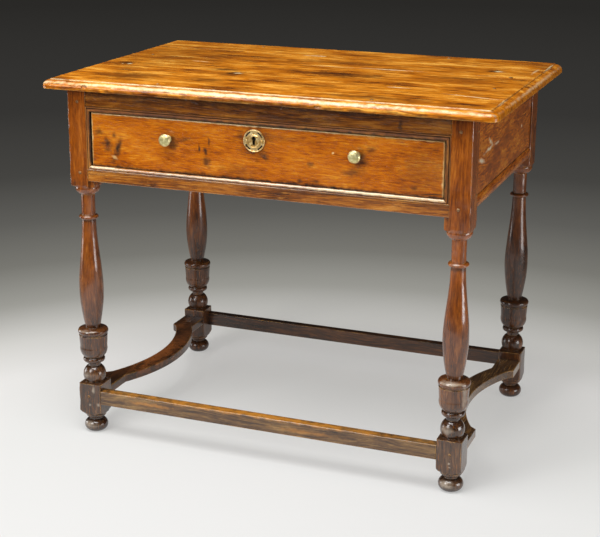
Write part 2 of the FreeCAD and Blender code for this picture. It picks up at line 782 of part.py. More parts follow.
def end_stretcher():
    """Right board: square ends as wide as the leg, cusps, and a bow towards the middle of the table."""
    outer = leg_outer_x - end_stretcher_setback
    inner = leg_inner_x + end_stretcher_setback
    cusp_y = leg_inner_y - end_straight_length
    arc_x = outer - cusp_step_in
    arc_y = cusp_y - cusp_step_along
    inner_apex = inner - bow_depth
    outer_apex = inner_apex + bow_width
    z = end_stretcher_bottom
    edges = [Part.makeLine(vec(inner, -leg_inner_y, z), vec(outer, -leg_inner_y, z)),
             Part.makeLine(vec(outer, -leg_inner_y, z), vec(outer, -cusp_y, z)),
             Part.makeLine(vec(outer, -cusp_y, z), vec(arc_x, -arc_y, z)),
             Part.Arc(vec(arc_x, -arc_y, z), vec(outer_apex, 0, z), vec(arc_x, arc_y, z)).toShape(),
             Part.makeLine(vec(arc_x, arc_y, z), vec(outer, cusp_y, z)),
             Part.makeLine(vec(outer, cusp_y, z), vec(outer, leg_inner_y, z)),
             Part.makeLine(vec(outer, leg_inner_y, z), vec(inner, leg_inner_y, z)),
             Part.makeLine(vec(inner, leg_inner_y, z), vec(inner, cusp_y, z)),
             Part.Arc(vec(inner, cusp_y, z), vec(inner_apex, 0, z), vec(inner, -cusp_y, z)).toShape(),
             Part.makeLine(vec(inner, -cusp_y, z), vec(inner, -leg_inner_y, z))]
    board = Part.Face(Part.Wire(edges)).extrude(vec(0, 0, end_stretcher_thickness))
    top_edges = edges_at(board, z=end_stretcher_bottom + end_stretcher_thickness)
    long_edges = [e for e in top_edges if abs(abs(e.CenterOfMass.y) - leg_inner_y) > match_tolerance]
    return joined(board.makeChamfer(end_arris_round, long_edges), *end_tenons)


right_end = end_stretcher()
save("right_end_stretcher", right_end)
save("left_end_stretcher", mirror_x(right_end))


# Drawer

def tails(shoulder, end):
    """Dovetails of the right side board, from its shoulder to their wider ends."""
    prisms = []
    for share in tail_place_shares:
        z = drawer_bottom_edge + (side_top_edge - drawer_bottom_edge) * share
        wide = tail_half_width + tail_flare
        first = vec(side_inner, shoulder, z - tail_half_width)
        corners = [first, vec(side_inner, shoulder, z + tail_half_width),
                   vec(side_inner, end, z + wide), vec(side_inner, end, z - wide), first]
        prisms.append(Part.Face(Part.makePolygon(corners)).extrude(vec(drawer_side_thickness, 0, 0)))
    return prisms


back_front = drawer_rear - drawer_back_thickness
front_tails = tails(drawer_inside_face, drawer_face + drawer_lap)
rear_tails = tails(back_front, drawer_rear)
side_board = box(side_inner, side_outer, drawer_inside_face, back_front, drawer_bottom_edge, side_top_edge)
side_rebate = box(side_inner - cut_overrun, side_inner + bottom_rebate, drawer_face,
                  drawer_rear + cut_overrun, drawer_bottom_edge - cut_overrun, bottom_upper)
bottom_half = side_inner + bottom_rebate - joint_clearance
front_rebate_y = drawer_inside_face - bottom_rebate
bottom_y0 = front_rebate_y + joint_clearance

bottom_nail_places = []
for share in bottom_nail_shares:
    bottom_nail_places.append(vec(bottom_half * share, drawer_rear - drawer_back_thickness / 2, bottom_under))
    bottom_nail_places.append(vec(bottom_half * share, drawer_inside_face - bottom_rebate / 2, bottom_under))
bottom_nail_length = bottom_thickness + bottom_nail_hold
bottom_nails = [nail(at, vec(0, 0, 1), bottom_nail_length, bottom_nail_radius, bottom_nail_head_radius,
                     bottom_nail_head_height) for at in bottom_nail_places]
bottom_nail_holes = [nail(at, vec(0, 0, 1), bottom_nail_length, bottom_nail_radius, bottom_nail_head_radius,
                          bottom_nail_head_height, nail_clearance) for at in bottom_nail_places]
save("bottom_nails", *bottom_nails)

right_side = cut(joined(side_board, *front_tails, *rear_tails), [side_rebate])
save("drawer_right_side", right_side)
save("drawer_left_side", mirror_x(right_side))

back_board = box(-side_outer, side_outer, back_front, drawer_rear, bottom_upper,
                 side_top_edge - drawer_back_drop)
rear_sockets = rear_tails + [mirror_x(t) for t in rear_tails]
save("drawer_back", cut(back_board, rear_sockets + bottom_nail_holes))

board_width = 2 * bottom_half / bottom_board_count
for index, name in enumerate(("left", "middle", "right")):
    x0 = -bottom_half + index * board_width
    board = box(x0, x0 + board_width - bottom_board_gap, bottom_y0, drawer_rear, bottom_under, bottom_upper)
    save("drawer_bottom_" + name, cut(board, bottom_nail_holes))


# Lock, on the back of the drawer front

def lock_box(margin, depth, back):
    """Block of the lock's outline, from its front inside the wood to a given back."""
    half = lock_width / 2 + margin
    return box(lock_side_offset - half, lock_side_offset + half, drawer_inside_face - depth - margin, back,
               drawer_top_edge - lock_height - margin, drawer_top_edge)


bolt_half = bolt_width / 2
bolt_back = drawer_inside_face - bolt_clearance
bolt_front = bolt_back - bolt_thickness
bolt_top = drawer_top_edge - bolt_clearance
bolt_notch = box(lock_side_offset - bolt_notch_width / 2, lock_side_offset + bolt_notch_width / 2,
                 bolt_front - cut_overrun, bolt_back + cut_overrun,
                 bolt_top - bolt_height - cut_overrun, bolt_top - bolt_height + bolt_notch_height)
bolt = box(lock_side_offset - bolt_half, lock_side_offset + bolt_half, bolt_front, bolt_back,
           bolt_top - bolt_height, bolt_top)
save("lock_bolt", cut(bolt, [bolt_notch]))

plate_half = lock_width / 2 + lock_plate_margin
plate_low = drawer_top_edge - lock_height - lock_plate_margin
plate = box(lock_side_offset - plate_half, lock_side_offset + plate_half, drawer_inside_face,
            drawer_inside_face + lock_wall, plate_low, drawer_top_edge)
walls = cut(lock_box(0, lock_depth, drawer_inside_face),
            [box(lock_side_offset - lock_width / 2 + lock_wall, lock_side_offset + lock_width / 2 - lock_wall,
                 drawer_inside_face - lock_depth - cut_overrun, drawer_inside_face + cut_overrun,
                 drawer_top_edge - lock_height + lock_wall, drawer_top_edge - lock_wall)])
bolt_way = box(lock_side_offset - bolt_half - bolt_clearance, lock_side_offset + bolt_half + bolt_clearance,
               bolt_front - bolt_clearance, drawer_inside_face, drawer_top_edge - lock_height + lock_wall,
               drawer_top_edge + cut_overrun)
key_pin = rod(key_pin_radius, vec(lock_side_offset, drawer_inside_face, eye_z),
              vec(lock_side_offset, drawer_face + lock_wall, eye_z))
lock_nail_reach = plate_half - lock_plate_margin / 2
lock_nail_places = [vec(lock_side_offset + side * lock_nail_reach, drawer_inside_face + lock_wall, z)
                    for side in (-1, 1)
                    for z in (plate_low + lock_plate_margin / 2, drawer_top_edge - lock_plate_margin * 2)]
lock_nail_length = lock_wall + lock_nail_hold
lock_nails = []
lock_nail_holes = []
for at in lock_nail_places:
    shank_end = at - vec(0, lock_nail_length, 0)
    head = rod(lock_nail_head_radius, at, at + vec(0, lock_nail_head_height, 0))
    lock_nails.append(joined(rod(lock_nail_radius, shank_end, at), head))
    lock_nail_holes.append(rod(lock_nail_radius + nail_clearance, shank_end - vec(0, nail_clearance, 0), at))
save("lock_nails", *lock_nails)
save("lock_case", cut(joined(plate, cut(walls, [bolt_way]), key_pin), lock_nail_holes))


def keyhole(y0, y1):
    """Keyhole through the wood and the plate: a round eye over a slot."""
    eye = rod(keyhole_radius, vec(lock_side_offset, y0, eye_z), vec(lock_side_offset, y1, eye_z))
    slot = box(lock_side_offset - keyhole_slot_width / 2, lock_side_offset + keyhole_slot_width / 2, y0, y1,
               eye_z - keyhole_slot_drop, eye_z)
    return joined(eye, slot)


key_cut = keyhole(drawer_face - escutcheon_thickness - escutcheon_boss_rise - cut_overrun,
                  drawer_inside_face - lock_depth / 2)

# Escutcheon

shield = Outline()
shield.line(escutcheon_radius, 0)
shield.line(escutcheon_radius, escutcheon_thickness)
shield.bead(escutcheon_rim_width, escutcheon_rim_rise)
shield.line(escutcheon_boss_radius + escutcheon_groove_width, 0)
shield.line(escutcheon_boss_radius + escutcheon_groove_width / 2, -escutcheon_groove_depth)
shield.line(escutcheon_boss_radius, escutcheon_groove_depth)
shield.line(escutcheon_boss_radius - escutcheon_boss_rise, escutcheon_boss_rise)
shield.line(0, 0)
escutcheon = turned_along_y(shield, lock_side_offset, drawer_face, keyhole_z)
pin_places = [vec(lock_side_offset + s * escutcheon_pin_place, drawer_face - escutcheon_thickness, keyhole_z)
              for s in (-1, 1)]
escutcheon_pins = []
escutcheon_pin_holes = []
for at in pin_places:
    pin = Outline()
    pin.line(escutcheon_pin_radius, 0)
    pin.line(escutcheon_pin_radius, escutcheon_pin_length)
    pin.line(escutcheon_pin_head_radius, 0)
    pin.dome(escutcheon_pin_head_rise)
    tip = at + vec(0, escutcheon_pin_length, 0)
    escutcheon_pins.append(turned_along_y(pin, tip.x, tip.y, tip.z))
    escutcheon_pin_holes.append(rod(escutcheon_pin_radius + nail_clearance, at - vec(0, cut_overrun, 0),
                                    tip + vec(0, nail_clearance, 0)))
save("escutcheon_plate", cut(escutcheon, [key_cut] + escutcheon_pin_holes))
save("escutcheon_pins", *escutcheon_pins)


# Knobs

def knob(x):
    """Brass knob with its shank through the drawer front."""
    k = Outline()
    k.line(knob_collar_radius, 0)
    k.line(knob_collar_radius, knob_collar_height / 2)
    k.line(knob_neck_radius, knob_collar_height / 2)
    k.line(knob_neck_radius, knob_neck_length)
    k.shoulder(knob_radius, knob_flare_length)
    k.line(knob_face_radius, knob_rim_length)
    k.dome(knob_dome)
    head = turned_along_y(k, x, drawer_face, knob_z)
    shank = rod(knob_shank_radius, vec(x, drawer_face, knob_z),
                vec(x, drawer_inside_face + knob_shank_reach, knob_z))
    return joined(head, shank)


knob_holes = []
knob_nuts = []
for x, name in ((-knob_x, "left"), (knob_x, "right")):
    save(name + "_knob", knob(x))
    knob_holes.append(rod(knob_shank_radius + peg_clearance, vec(x, drawer_face - cut_overrun, knob_z),
                          vec(x, drawer_inside_face + knob_shank_reach + cut_overrun, knob_z)))
    half = knob_nut_width / 2
    nut = box(x - half, x + half, drawer_inside_face, drawer_inside_face + knob_nut_height,
              knob_z - half, knob_z + half)
    knob_nuts.append(cut(nut, [knob_holes[-1]]))
save("knob_nuts", *knob_nuts)

# Drawer front, cut for everything that it carries

front_board = box(-drawer_half, drawer_half, drawer_face, drawer_inside_face,
                  drawer_bottom_edge, drawer_top_edge)
front_board = front_board.makeFillet(drawer_arris_round, edges_at(front_board, y=drawer_face))
front_sockets = []
for tail in front_tails:
    open_end = tail.copy()
    open_end.translate(vec(drawer_side_inset, 0, 0))
    front_sockets += [tail, open_end, mirror_x(tail), mirror_x(open_end)]
front_rebate = box(-bottom_half - joint_clearance, bottom_half + joint_clearance, front_rebate_y,
                   drawer_inside_face + cut_overrun, drawer_bottom_edge - cut_overrun, bottom_upper)
lock_mortise = lock_box(lock_clearance, lock_depth, drawer_inside_face + cut_overrun)
lock_mortise = joined(lock_mortise, lock_mortise.translated(vec(0, 0, cut_overrun)))
front_cuts = front_sockets + [front_rebate, lock_mortise, key_cut]
front_cuts += bottom_nail_holes + lock_nail_holes + escutcheon_pin_holes + knob_holes
save("drawer_front", cut(front_board, front_cuts))
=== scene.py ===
# %% [markdown]
# # A tavern table in waxed oak
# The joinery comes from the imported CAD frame: planks, legs, rails, stretchers and a drawer
# that slides. This lesson dresses that frame. It sets the camera and the studio first, then
# makes one oak recipe for all the timber, and then remakes the pieces that long use has
# changed: the moulded top, the turned legs and the pegs. Brass and iron come last.

# %% Load the frame
import math

import bmesh
import bpy
import numpy
from mathutils import Matrix, Quaternion, Vector, noise


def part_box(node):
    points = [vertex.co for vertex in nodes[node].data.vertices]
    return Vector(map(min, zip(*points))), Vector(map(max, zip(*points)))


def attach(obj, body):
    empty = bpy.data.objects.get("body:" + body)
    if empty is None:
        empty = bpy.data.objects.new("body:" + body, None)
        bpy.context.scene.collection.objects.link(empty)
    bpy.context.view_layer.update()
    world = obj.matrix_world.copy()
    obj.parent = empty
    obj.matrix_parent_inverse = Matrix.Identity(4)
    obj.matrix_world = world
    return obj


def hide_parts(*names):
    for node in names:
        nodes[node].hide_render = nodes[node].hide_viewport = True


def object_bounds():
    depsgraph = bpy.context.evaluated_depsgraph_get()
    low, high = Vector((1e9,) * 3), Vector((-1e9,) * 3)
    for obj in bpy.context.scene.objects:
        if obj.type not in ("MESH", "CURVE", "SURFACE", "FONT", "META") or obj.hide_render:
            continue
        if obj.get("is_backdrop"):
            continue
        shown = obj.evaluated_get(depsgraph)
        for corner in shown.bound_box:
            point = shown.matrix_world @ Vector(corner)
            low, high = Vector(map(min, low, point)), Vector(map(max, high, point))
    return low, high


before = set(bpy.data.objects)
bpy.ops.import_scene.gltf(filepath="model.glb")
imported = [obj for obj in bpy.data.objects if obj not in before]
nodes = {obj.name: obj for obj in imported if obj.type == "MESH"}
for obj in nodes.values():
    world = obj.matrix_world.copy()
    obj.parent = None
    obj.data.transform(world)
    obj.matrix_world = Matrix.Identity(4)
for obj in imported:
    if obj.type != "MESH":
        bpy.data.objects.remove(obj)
cad_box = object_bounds()
scene = bpy.context.scene
scene.view_settings.view_transform = "Standard"
mm = 0.001
print("frame:", len(nodes), "pieces, box", [round(v, 3) for corner in cad_box for v in corner])

# %% [markdown]
# ## Three small tools
# Colours are picked as sRGB hex values, the way a paint chart lists them, but shaders count
# light, so one function turns them to linear. The second adds a node to any tree, sets its
# properties and joins its inputs, which keeps each recipe below readable from top to bottom. It
# finds by itself the family name that Blender puts before a kind of node. Inputs are a row in the
# node's own order, or go by name or number where some are left out. A range has its value, its
# two old limits and its two new ones. A mix has its share, then 2 and 3 for numbers or 6 and 7
# for colours. The third tool starts an empty material.

# %% Colour and node tools
def linear(hex_colour):
    """Linear RGBA of an sRGB hex colour."""
    parts = [int(hex_colour[i:i + 2], 16) / 255 for i in (1, 3, 5)]
    return [p / 12.92 if p <= 0.04045 else ((p + 0.055) / 1.055) ** 2.4 for p in parts] + [1.0]


node_families = ("ShaderNode", "GeometryNode", "FunctionNode", "")


def add(tree, kind, inputs, stops=(), **settings):
    """One node: its properties, its inputs as values or links, and the stops of a colour ramp."""
    family = next(name for name in node_families if hasattr(bpy.types, name + kind))
    node = tree.nodes.new(family + kind)
    for name, value in settings.items():
        setattr(node, name, value)
    for key, value in inputs.items() if isinstance(inputs, dict) else enumerate(inputs):
        if isinstance(value, bpy.types.Node):
            value = next(out for out in value.outputs if out.enabled)
        if isinstance(value, bpy.types.NodeSocket):
            tree.links.new(value, node.inputs[key])
        else:
            node.inputs[key].default_value = value
    for index, (place, colour) in enumerate(stops):
        elements = node.color_ramp.elements
        element = elements[index] if index < len(elements) else elements.new(1.0)
        element.position = place
        element.color = linear(colour)
    return node


def new_material(name):
    """Empty node material and its tree."""
    material = bpy.data.materials.new(name)
    material.use_nodes = True
    material.node_tree.nodes.clear()
    return material, material.node_tree


print("tools ready, mid grey is", round(linear("#808080")[0], 3))

# %% [markdown]
# ## Camera
# The picture was taken from about chest height, in front of the drawer and to its right, with a
# long lens. Its verticals hardly converge, so the lens has a small downward shift.

# %% Camera
picture_width, focal_pixels, shift_pixels = 600, 1397.9, -38.5
azimuth, elevation, roll = math.radians(21.04), math.radians(15.78), math.radians(0.25)
camera_place, sensor_width, clip_end = (0.9574, -2.5505, 1.1643), 36, 60
camera_data = bpy.data.cameras.new("camera")
camera = bpy.data.objects.new("camera", camera_data)
scene.collection.objects.link(camera)
scene.camera = camera
back = Vector((math.sin(azimuth) * math.cos(elevation), -math.cos(azimuth) * math.cos(elevation),
               math.sin(elevation)))
camera.location = camera_place
camera.rotation_mode = "QUATERNION"
camera.rotation_quaternion = back.to_track_quat("Z", "Y") @ Quaternion((0, 0, 1), roll)
camera_data.sensor_width = sensor_width
camera_data.lens = sensor_width * focal_pixels / picture_width
camera_data.shift_y = shift_pixels / picture_width
camera_data.clip_end = clip_end
print("lens", round(camera_data.lens, 1), "mm")

# %% [markdown]
# ## Studio
# The floor is a pale sweep that falls away into grey behind the table. It is one wide disc, so
# there is ground on every side. Near the table half of what the eye sees is paper lit by the
# lamps, which keeps the shadows, and half is the paper's own tone. Further out, where the lamps
# don't reach, it is the tone alone, and that tone lights nothing. One lamp overhead and one in
# front do the work. Two weak ones at the sides end below the level of the top, so that the top
# doesn't mirror them.

# %% Floor
floor_radius, floor_sides, floor_drop = 30, 96, 0.3 * mm
sweep_middle, sweep_reach = Vector((0.15, -0.55, 0.0)), 8.0
sweep_tones = ((0.30, "#DEDEDD"), (0.70, "#DEDEDC"), (0.95, "#E2E1DF"), (1.15, "#D0CFCB"),
               (1.42, "#9C9B95"), (1.75, "#787771"), (2.20, "#5E5D59"), (2.80, "#454441"),
               (4.00, "#363533"), (sweep_reach, "#2A2927"))
lit_reach, tone_reach, near_tone = 0.95, 1.70, 0.50
floor_mesh = bpy.data.meshes.new("floor")
shape = bmesh.new()
bmesh.ops.create_circle(shape, cap_ends=True, segments=floor_sides, radius=floor_radius)
bmesh.ops.translate(shape, verts=shape.verts, vec=(0, 0, -floor_drop))
shape.to_mesh(floor_mesh)
shape.free()
floor = bpy.data.objects.new("floor", floor_mesh)
scene.collection.objects.link(floor)
floor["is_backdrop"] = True


def seen_rays(tree):
    """One for rays that the camera, a polish or a glass sends out, nought for light that bounces."""
    rays = add(tree, "LightPath", ())
    seen = add(tree, "Math", (rays.outputs["Is Camera Ray"], rays.outputs["Is Glossy Ray"]),
               operation="MAXIMUM")
    return add(tree, "Math", (seen, rays.outputs["Is Transmission Ray"]), operation="MAXIMUM")


# Matt studio paper: hardly any shine, so that only tone and shadow show.
paper, tree = new_material("sweep_paper")
where = add(tree, "TexCoord", ()).outputs["Object"]
reach = add(tree, "VectorMath", (where, sweep_middle), operation="DISTANCE")
share = add(tree, "MapRange", (reach, 0.0, sweep_reach))
tint = add(tree, "ValToRGB", (share,), stops=[(far / sweep_reach, c) for far, c in sweep_tones])
lit = add(tree, "BsdfPrincipled", {"Base Color": tint, "Roughness": 0.85, "Specular IOR Level": 0.2})
glow = add(tree, "Emission", {"Color": tint, "Strength": 1.0})
away = add(tree, "MapRange", (reach, lit_reach, tone_reach, near_tone, 1.0), interpolation_type="SMOOTHSTEP")
away = add(tree, "Math", (away, seen_rays(tree)), operation="MULTIPLY")
ground = add(tree, "MixShader", (away, lit, glow))
add(tree, "OutputMaterial", {"Surface": ground})
floor_mesh.materials.append(paper)
print("floor tones:", len(sweep_tones))

# %% World and lamps
world = bpy.data.worlds.new("studio")
scene.world = world
world.use_nodes = True
tree = world.node_tree
tree.nodes.clear()
fill = add(tree, "Background", {"Color": linear("#F2F0EC"), "Strength": 0.32})
far = add(tree, "Background", {"Color": linear(sweep_tones[-1][1]), "Strength": 1.0})
both = add(tree, "MixShader", (seen_rays(tree), fill, far))
add(tree, "OutputWorld", {"Surface": both})

# Name, place, target, width and height in metres, power in watts.
lamp_rows = (("overhead_lamp", (-0.15, -0.95, 2.5), (-0.15, -0.1, 0.6), 1.7, 1.5, 66.0),
             ("front_lamp", (-1.35, -2.6, 1.8), (0.0, 0.0, 0.45), 1.0, 1.4, 37.0),
             ("right_lamp", (2.2, -0.35, 0.36), (0.2, -0.1, 0.36), 0.9, 0.66, 15.0),
             ("left_lamp", (-2.2, -0.25, 0.36), (-0.2, -0.1, 0.36), 0.7, 0.66, 7.0))
for name, place, target, width, height, power in lamp_rows:
    lamp = bpy.data.lights.new(name, "AREA")
    lamp.shape = "RECTANGLE"
    lamp.size, lamp.size_y = width, height
    lamp.energy = power
    holder = bpy.data.objects.new(name, lamp)
    scene.collection.objects.link(holder)
    holder.location = place
    holder.rotation_mode = "QUATERNION"
    holder.rotation_quaternion = (Vector(target) - Vector(place)).to_track_quat("-Z", "Y")
print("lamps:", len(lamp_rows))

# %% [markdown]
# ## Waxed oak
# Oak darkened by smoke, wax and hands: honey on the top, reddish on the frame, nearly black by
# the floor. A photograph of boards would be quick, but it would not follow each piece. So one
# recipe draws the timber in millimetres along its own grain: long streaks, finer bands, smudges
# and flecks, and spots where the ends of the grain show. Dirt settles where the surfaces close
# in, arrises are rubbed pale, and a thin coat of wax gives the shine. Real pores are a third of a
# millimetre wide, too fine to show from here, so the flecks that stand for them are several
# times as coarse.

# %% Grain
grain_turn = {"x": (0, 0, 0), "y": (0, 0, -math.pi / 2), "z": (0, math.pi / 2, 0)}
# Marks of the timber in millimetres, as length along the grain and width across it.
streak_size, band_size, fleck_size, smudge_size = (260, 11), (64, 2.4), (34, 2.6), (130, 14)
bend_size, mottle_size, bend_sway, spot_size, mottle_share = (260, 90), (120, 55), 30, 14, 0.80


def drawn_out(tree, source, size, detail, roughness=0.55, scale=(1, 1)):
    """Noise drawn out along the grain; source and size, a mark's length and width, are in millimetres."""
    length, width = size[0] * scale[0], size[1] * scale[1]
    along = add(tree, "VectorMath", (source, (1 / length, 1 / width, 1 / width)), operation="MULTIPLY")
    return add(tree, "TexNoise", {"Vector": along, "Scale": 1.0, "Detail": detail, "Roughness": roughness})


def grain(tree, where, along, shift, scale, streak):
    """Timber along an axis: its place in millimetres, tone, mottle, smudges, bands, dark and pale flecks."""
    place = add(tree, "Mapping", (where, shift, grain_turn[along], (1 / mm, 1 / mm, 1 / mm)))
    bend = drawn_out(tree, place, bend_size, 2)
    bend = add(tree, "VectorMath", (bend.outputs["Color"], (0.5, 0.5, 0.5)), operation="SUBTRACT")
    swayed = add(tree, "VectorMath", (bend, (0, bend_sway, bend_sway), place), operation="MULTIPLY_ADD")
    streaks = drawn_out(tree, swayed, streak_size, 5, 0.66, scale)
    bands = drawn_out(tree, swayed, band_size, 4, 0.65, scale)
    mottle = drawn_out(tree, place, mottle_size, 4, 0.6)
    tone = add(tree, "Math", (streaks, streak, bands), operation="MULTIPLY_ADD")
    tone = add(tree, "Math", (mottle, mottle_share, tone), operation="MULTIPLY_ADD")
    middle, spread = (1 + mottle_share + streak) / 2, 0.18 + 0.10 * streak
    tone = add(tree, "MapRange", (tone, middle - spread, middle + spread))
    facing = add(tree, "NewGeometry", ())
    facing = add(tree, "VectorRotate", {"Vector": facing.outputs["Normal"], "Rotation": grain_turn[along]},
                 rotation_type="EULER_XYZ")
    facing = add(tree, "SeparateXYZ", (facing,))
    ends = add(tree, "Math", (facing.outputs["X"],), operation="ABSOLUTE")
    ends = add(tree, "MapRange", (ends, 0.35, 0.85))
    spots = add(tree, "TexNoise", {"Vector": place, "Scale": 1 / spot_size, "Detail": 5.0, "Roughness": 0.7})
    spots = add(tree, "MapRange", (spots, 0.20, 0.85))
    tone = add(tree, "Mix", {0: ends, 2: tone, 3: spots}, data_type="FLOAT")
    smudges = drawn_out(tree, swayed, smudge_size, 6, 0.72, scale)
    smudges = add(tree, "MapRange", (smudges, 0.55, 0.68), interpolation_type="SMOOTHSTEP")
    flecks = drawn_out(tree, swayed, fleck_size, 3, 0.6, scale)
    dark = add(tree, "MapRange", (flecks, 0.55, 0.63))
    pale = add(tree, "MapRange", (flecks, 0.42, 0.34))
    return place, tone, mottle, smudges, bands, dark, pale


print("grain ready, flecks of", fleck_size[0], "by", fleck_size[1], "mm")

# %% Stains and wear
blot_size, ragged_share, dirt_reach, patch_size = 14 * mm, 1.7, 22 * mm, (36, 14)


def on_face(axis, level, depth, rows):
    """Marks on a face square to an axis: two places, two radii, strength and any turn in degrees."""
    marks = []
    for first, second, first_radius, second_radius, strength, *turn in rows:
        centre, radii, turns = [first, second], [first_radius, second_radius], [0, 0, 0]
        centre.insert(axis, level)
        radii.insert(axis, depth)
        turns[axis] = sum(turn)
        marks.append((centre, radii, strength, turns))
    return marks


def marked(tree, where, colour, marks, tint):
    """Blends a tint into each mark: centre and radii in millimetres, strength and any turns in degrees."""
    blots = add(tree, "TexNoise", {"Vector": where, "Scale": 1 / blot_size, "Detail": 5.0})
    ragged = add(tree, "VectorMath", (blots.outputs["Color"], (0.5, 0.5, 0.5)), operation="SUBTRACT")
    for centre, radii, strength, *turn in marks:
        turns = [math.radians(t) for t in turn[0]] if turn else (0, 0, 0)
        inside = add(tree, "Mapping", (where, Vector(centre) * mm, turns, Vector(radii) * mm),
                     vector_type="TEXTURE")
        inside = add(tree, "VectorMath", (ragged, [ragged_share] * 3, inside), operation="MULTIPLY_ADD")
        away = add(tree, "VectorMath", (inside,), operation="LENGTH")
        mask = add(tree, "MapRange", (away, 0.1, 1.1, strength, 0.0), interpolation_type="SMOOTHSTEP")
        colour = add(tree, "Mix", {0: mask, 6: colour, 7: linear(tint)}, data_type="RGBA")
    return colour


def handled(tree, place, colour, eased, bare, wear, hidden_wear, grime, dirt):
    """Arrises rubbed to bare wood in patches, less so in corners, and dirt where the surfaces close in."""
    flat = add(tree, "NewGeometry", ())
    edge = add(tree, "VectorMath", (eased, flat.outputs["Normal"]), operation="DOT_PRODUCT")
    edge = add(tree, "MapRange", (edge, 0.99, 0.90))
    closed = add(tree, "AmbientOcclusion", {"Distance": dirt_reach}, samples=6)
    open_air = add(tree, "MapRange", (closed.outputs["AO"], 0.35, 0.85))
    patchy = drawn_out(tree, place, patch_size, 3)
    patchy = add(tree, "MapRange", (patchy, 0.40, 0.62, 0.0, wear))
    dusty = add(tree, "MapRange", (open_air, 0.0, 1.0, dirt, 0.0))
    colour = add(tree, "Mix", {0: dusty, 6: colour, 7: linear(grime)}, data_type="RGBA")
    reached = add(tree, "Math", (open_air, hidden_wear), operation="MAXIMUM")
    rubbed = add(tree, "Math", (edge, reached), operation="MULTIPLY")
    rubbed = add(tree, "Math", (rubbed, patchy), operation="MULTIPLY")
    return add(tree, "Mix", {0: rubbed, 6: colour, 7: linear(bare)}, data_type="RGBA")


print("stains and wear ready")

# %% Oak recipe
# The black tint is for painted shade in gaps and holes.
arris_round, relief_depth, wave_size, low_wander, painted_shade_black = 2.5 * mm, 0.6 * mm, (90, 46), 0.16, "#0E0906"


def oak(name, along, tones, shift=(0, 0, 0), low_tones=(), fade=(0.22, 0.36), stains_and_shade=(), scuffs_and_highlights=(), painted_shade=(),
        stain_and_shade="#2E2018", scuff_and_highlight="#C9AE86", bare="#DDA550", wear=0.6, grime="#1C110A", dirt=0.7,
        gloss=(0.16, 0.30), wax=0.8, ior=1.42, breadth=1.0, stretch=1.0, streak=1.0, fleck=0.5, smudge=0.45,
        hidden_wear=0.0):
    """Waxed oak; tones run from the darkest streak to the lightest, low tones take over near the floor."""
    material, tree = new_material(name)
    where = add(tree, "TexCoord", ()).outputs["Object"]
    scale = (stretch, breadth)
    place, tone, mottle, smudges, bands, dark, pale = grain(tree, where, along, shift, scale, streak)
    ramps = [add(tree, "ValToRGB", (tone,),
                 stops=[(i / (len(row) - 1), c) for i, c in enumerate(row)])
             for row in (tones, low_tones) if row]
    colour = ramps[0]
    if low_tones:
        height = add(tree, "SeparateXYZ", (where,))
        ragged = add(tree, "Math", (mottle, low_wander, height.outputs["Z"]), operation="MULTIPLY_ADD")
        high = add(tree, "MapRange", (ragged, fade[0], fade[1]), interpolation_type="SMOOTHSTEP")
        colour = add(tree, "Mix", {0: high, 6: ramps[1], 7: ramps[0]}, data_type="RGBA")
    for mask, strength, tint in ((dark, fleck, tones[0]), (pale, fleck, tones[-1]),
                                 (smudges, smudge, tones[0])):
        shade = add(tree, "Math", (mask, strength), operation="MULTIPLY")
        colour = add(tree, "Mix", {0: shade, 6: colour, 7: linear(tint)}, data_type="RGBA")
    # Stains may also hold painted shade, and scuffs painted highlights.
    colour = marked(tree, where, colour, stains_and_shade, stain_and_shade)
    colour = marked(tree, where, colour, scuffs_and_highlights, scuff_and_highlight)
    eased = add(tree, "Bevel", {"Radius": arris_round}, samples=4)
    colour = handled(tree, place, colour, eased, bare, wear, hidden_wear, grime, dirt)
    # Painted shade: black marks where gaps and holes lie in shadow.
    colour = marked(tree, where, colour, painted_shade, painted_shade_black)
    rough = add(tree, "MapRange", (mottle, 0.35, 0.65, gloss[0], gloss[1]))
    relief = add(tree, "Math", (dark, -0.5, bands), operation="MULTIPLY_ADD")
    waves = drawn_out(tree, place, wave_size, 1)
    relief = add(tree, "Math", (waves, 3.0, relief), operation="MULTIPLY_ADD")
    bumps = add(tree, "Bump",
                {"Strength": 0.35, "Distance": relief_depth, "Height": relief, "Normal": eased})
    surface = add(tree, "BsdfPrincipled",
                  {"Base Color": colour, "Roughness": rough, "Normal": bumps, "IOR": ior,
                   "Coat Weight": wax, "Coat IOR": 1.8, "Coat Roughness": 0.10})
    add(tree, "OutputMaterial", {"Surface": surface})
    return material


print("oak recipe ready")

# %% [markdown]
# ## The top
# Three planks with one moulding worked round all of them: a small step, then a broad round.
# Extruding each plank and bevelling it would give a crisp new edge. Here the outline is walked
# round once for each height of the moulding, with a little wear in every step, and the slab is
# then sawn into planks. The planks are cut into small faces, so they can cup and wear.

# %% Outline and moulding of the top
board_names = ("top_board_front", "top_board_middle", "top_board_back")
board_boxes = [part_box(name) for name in board_names]
top_low = Vector([min(low[i] for low, high in board_boxes) for i in range(3)])
top_high = Vector([max(high[i] for low, high in board_boxes) for i in range(3)])
corner_round, edge_width, edge_step, edge_drop, edge_land = 16 * mm, 14 * mm, 2 * mm, 10.5 * mm, 3 * mm
outline_step, corner_steps, round_steps = 6 * mm, 8, 9
wear_depth, wander_size, rough_size = 0.35 * mm, 45 * mm, 9 * mm
dent_depth, dent_size, dent_limit, dent_shift = 4 * mm, 30 * mm, 0.45, Vector((7, 3, 1))


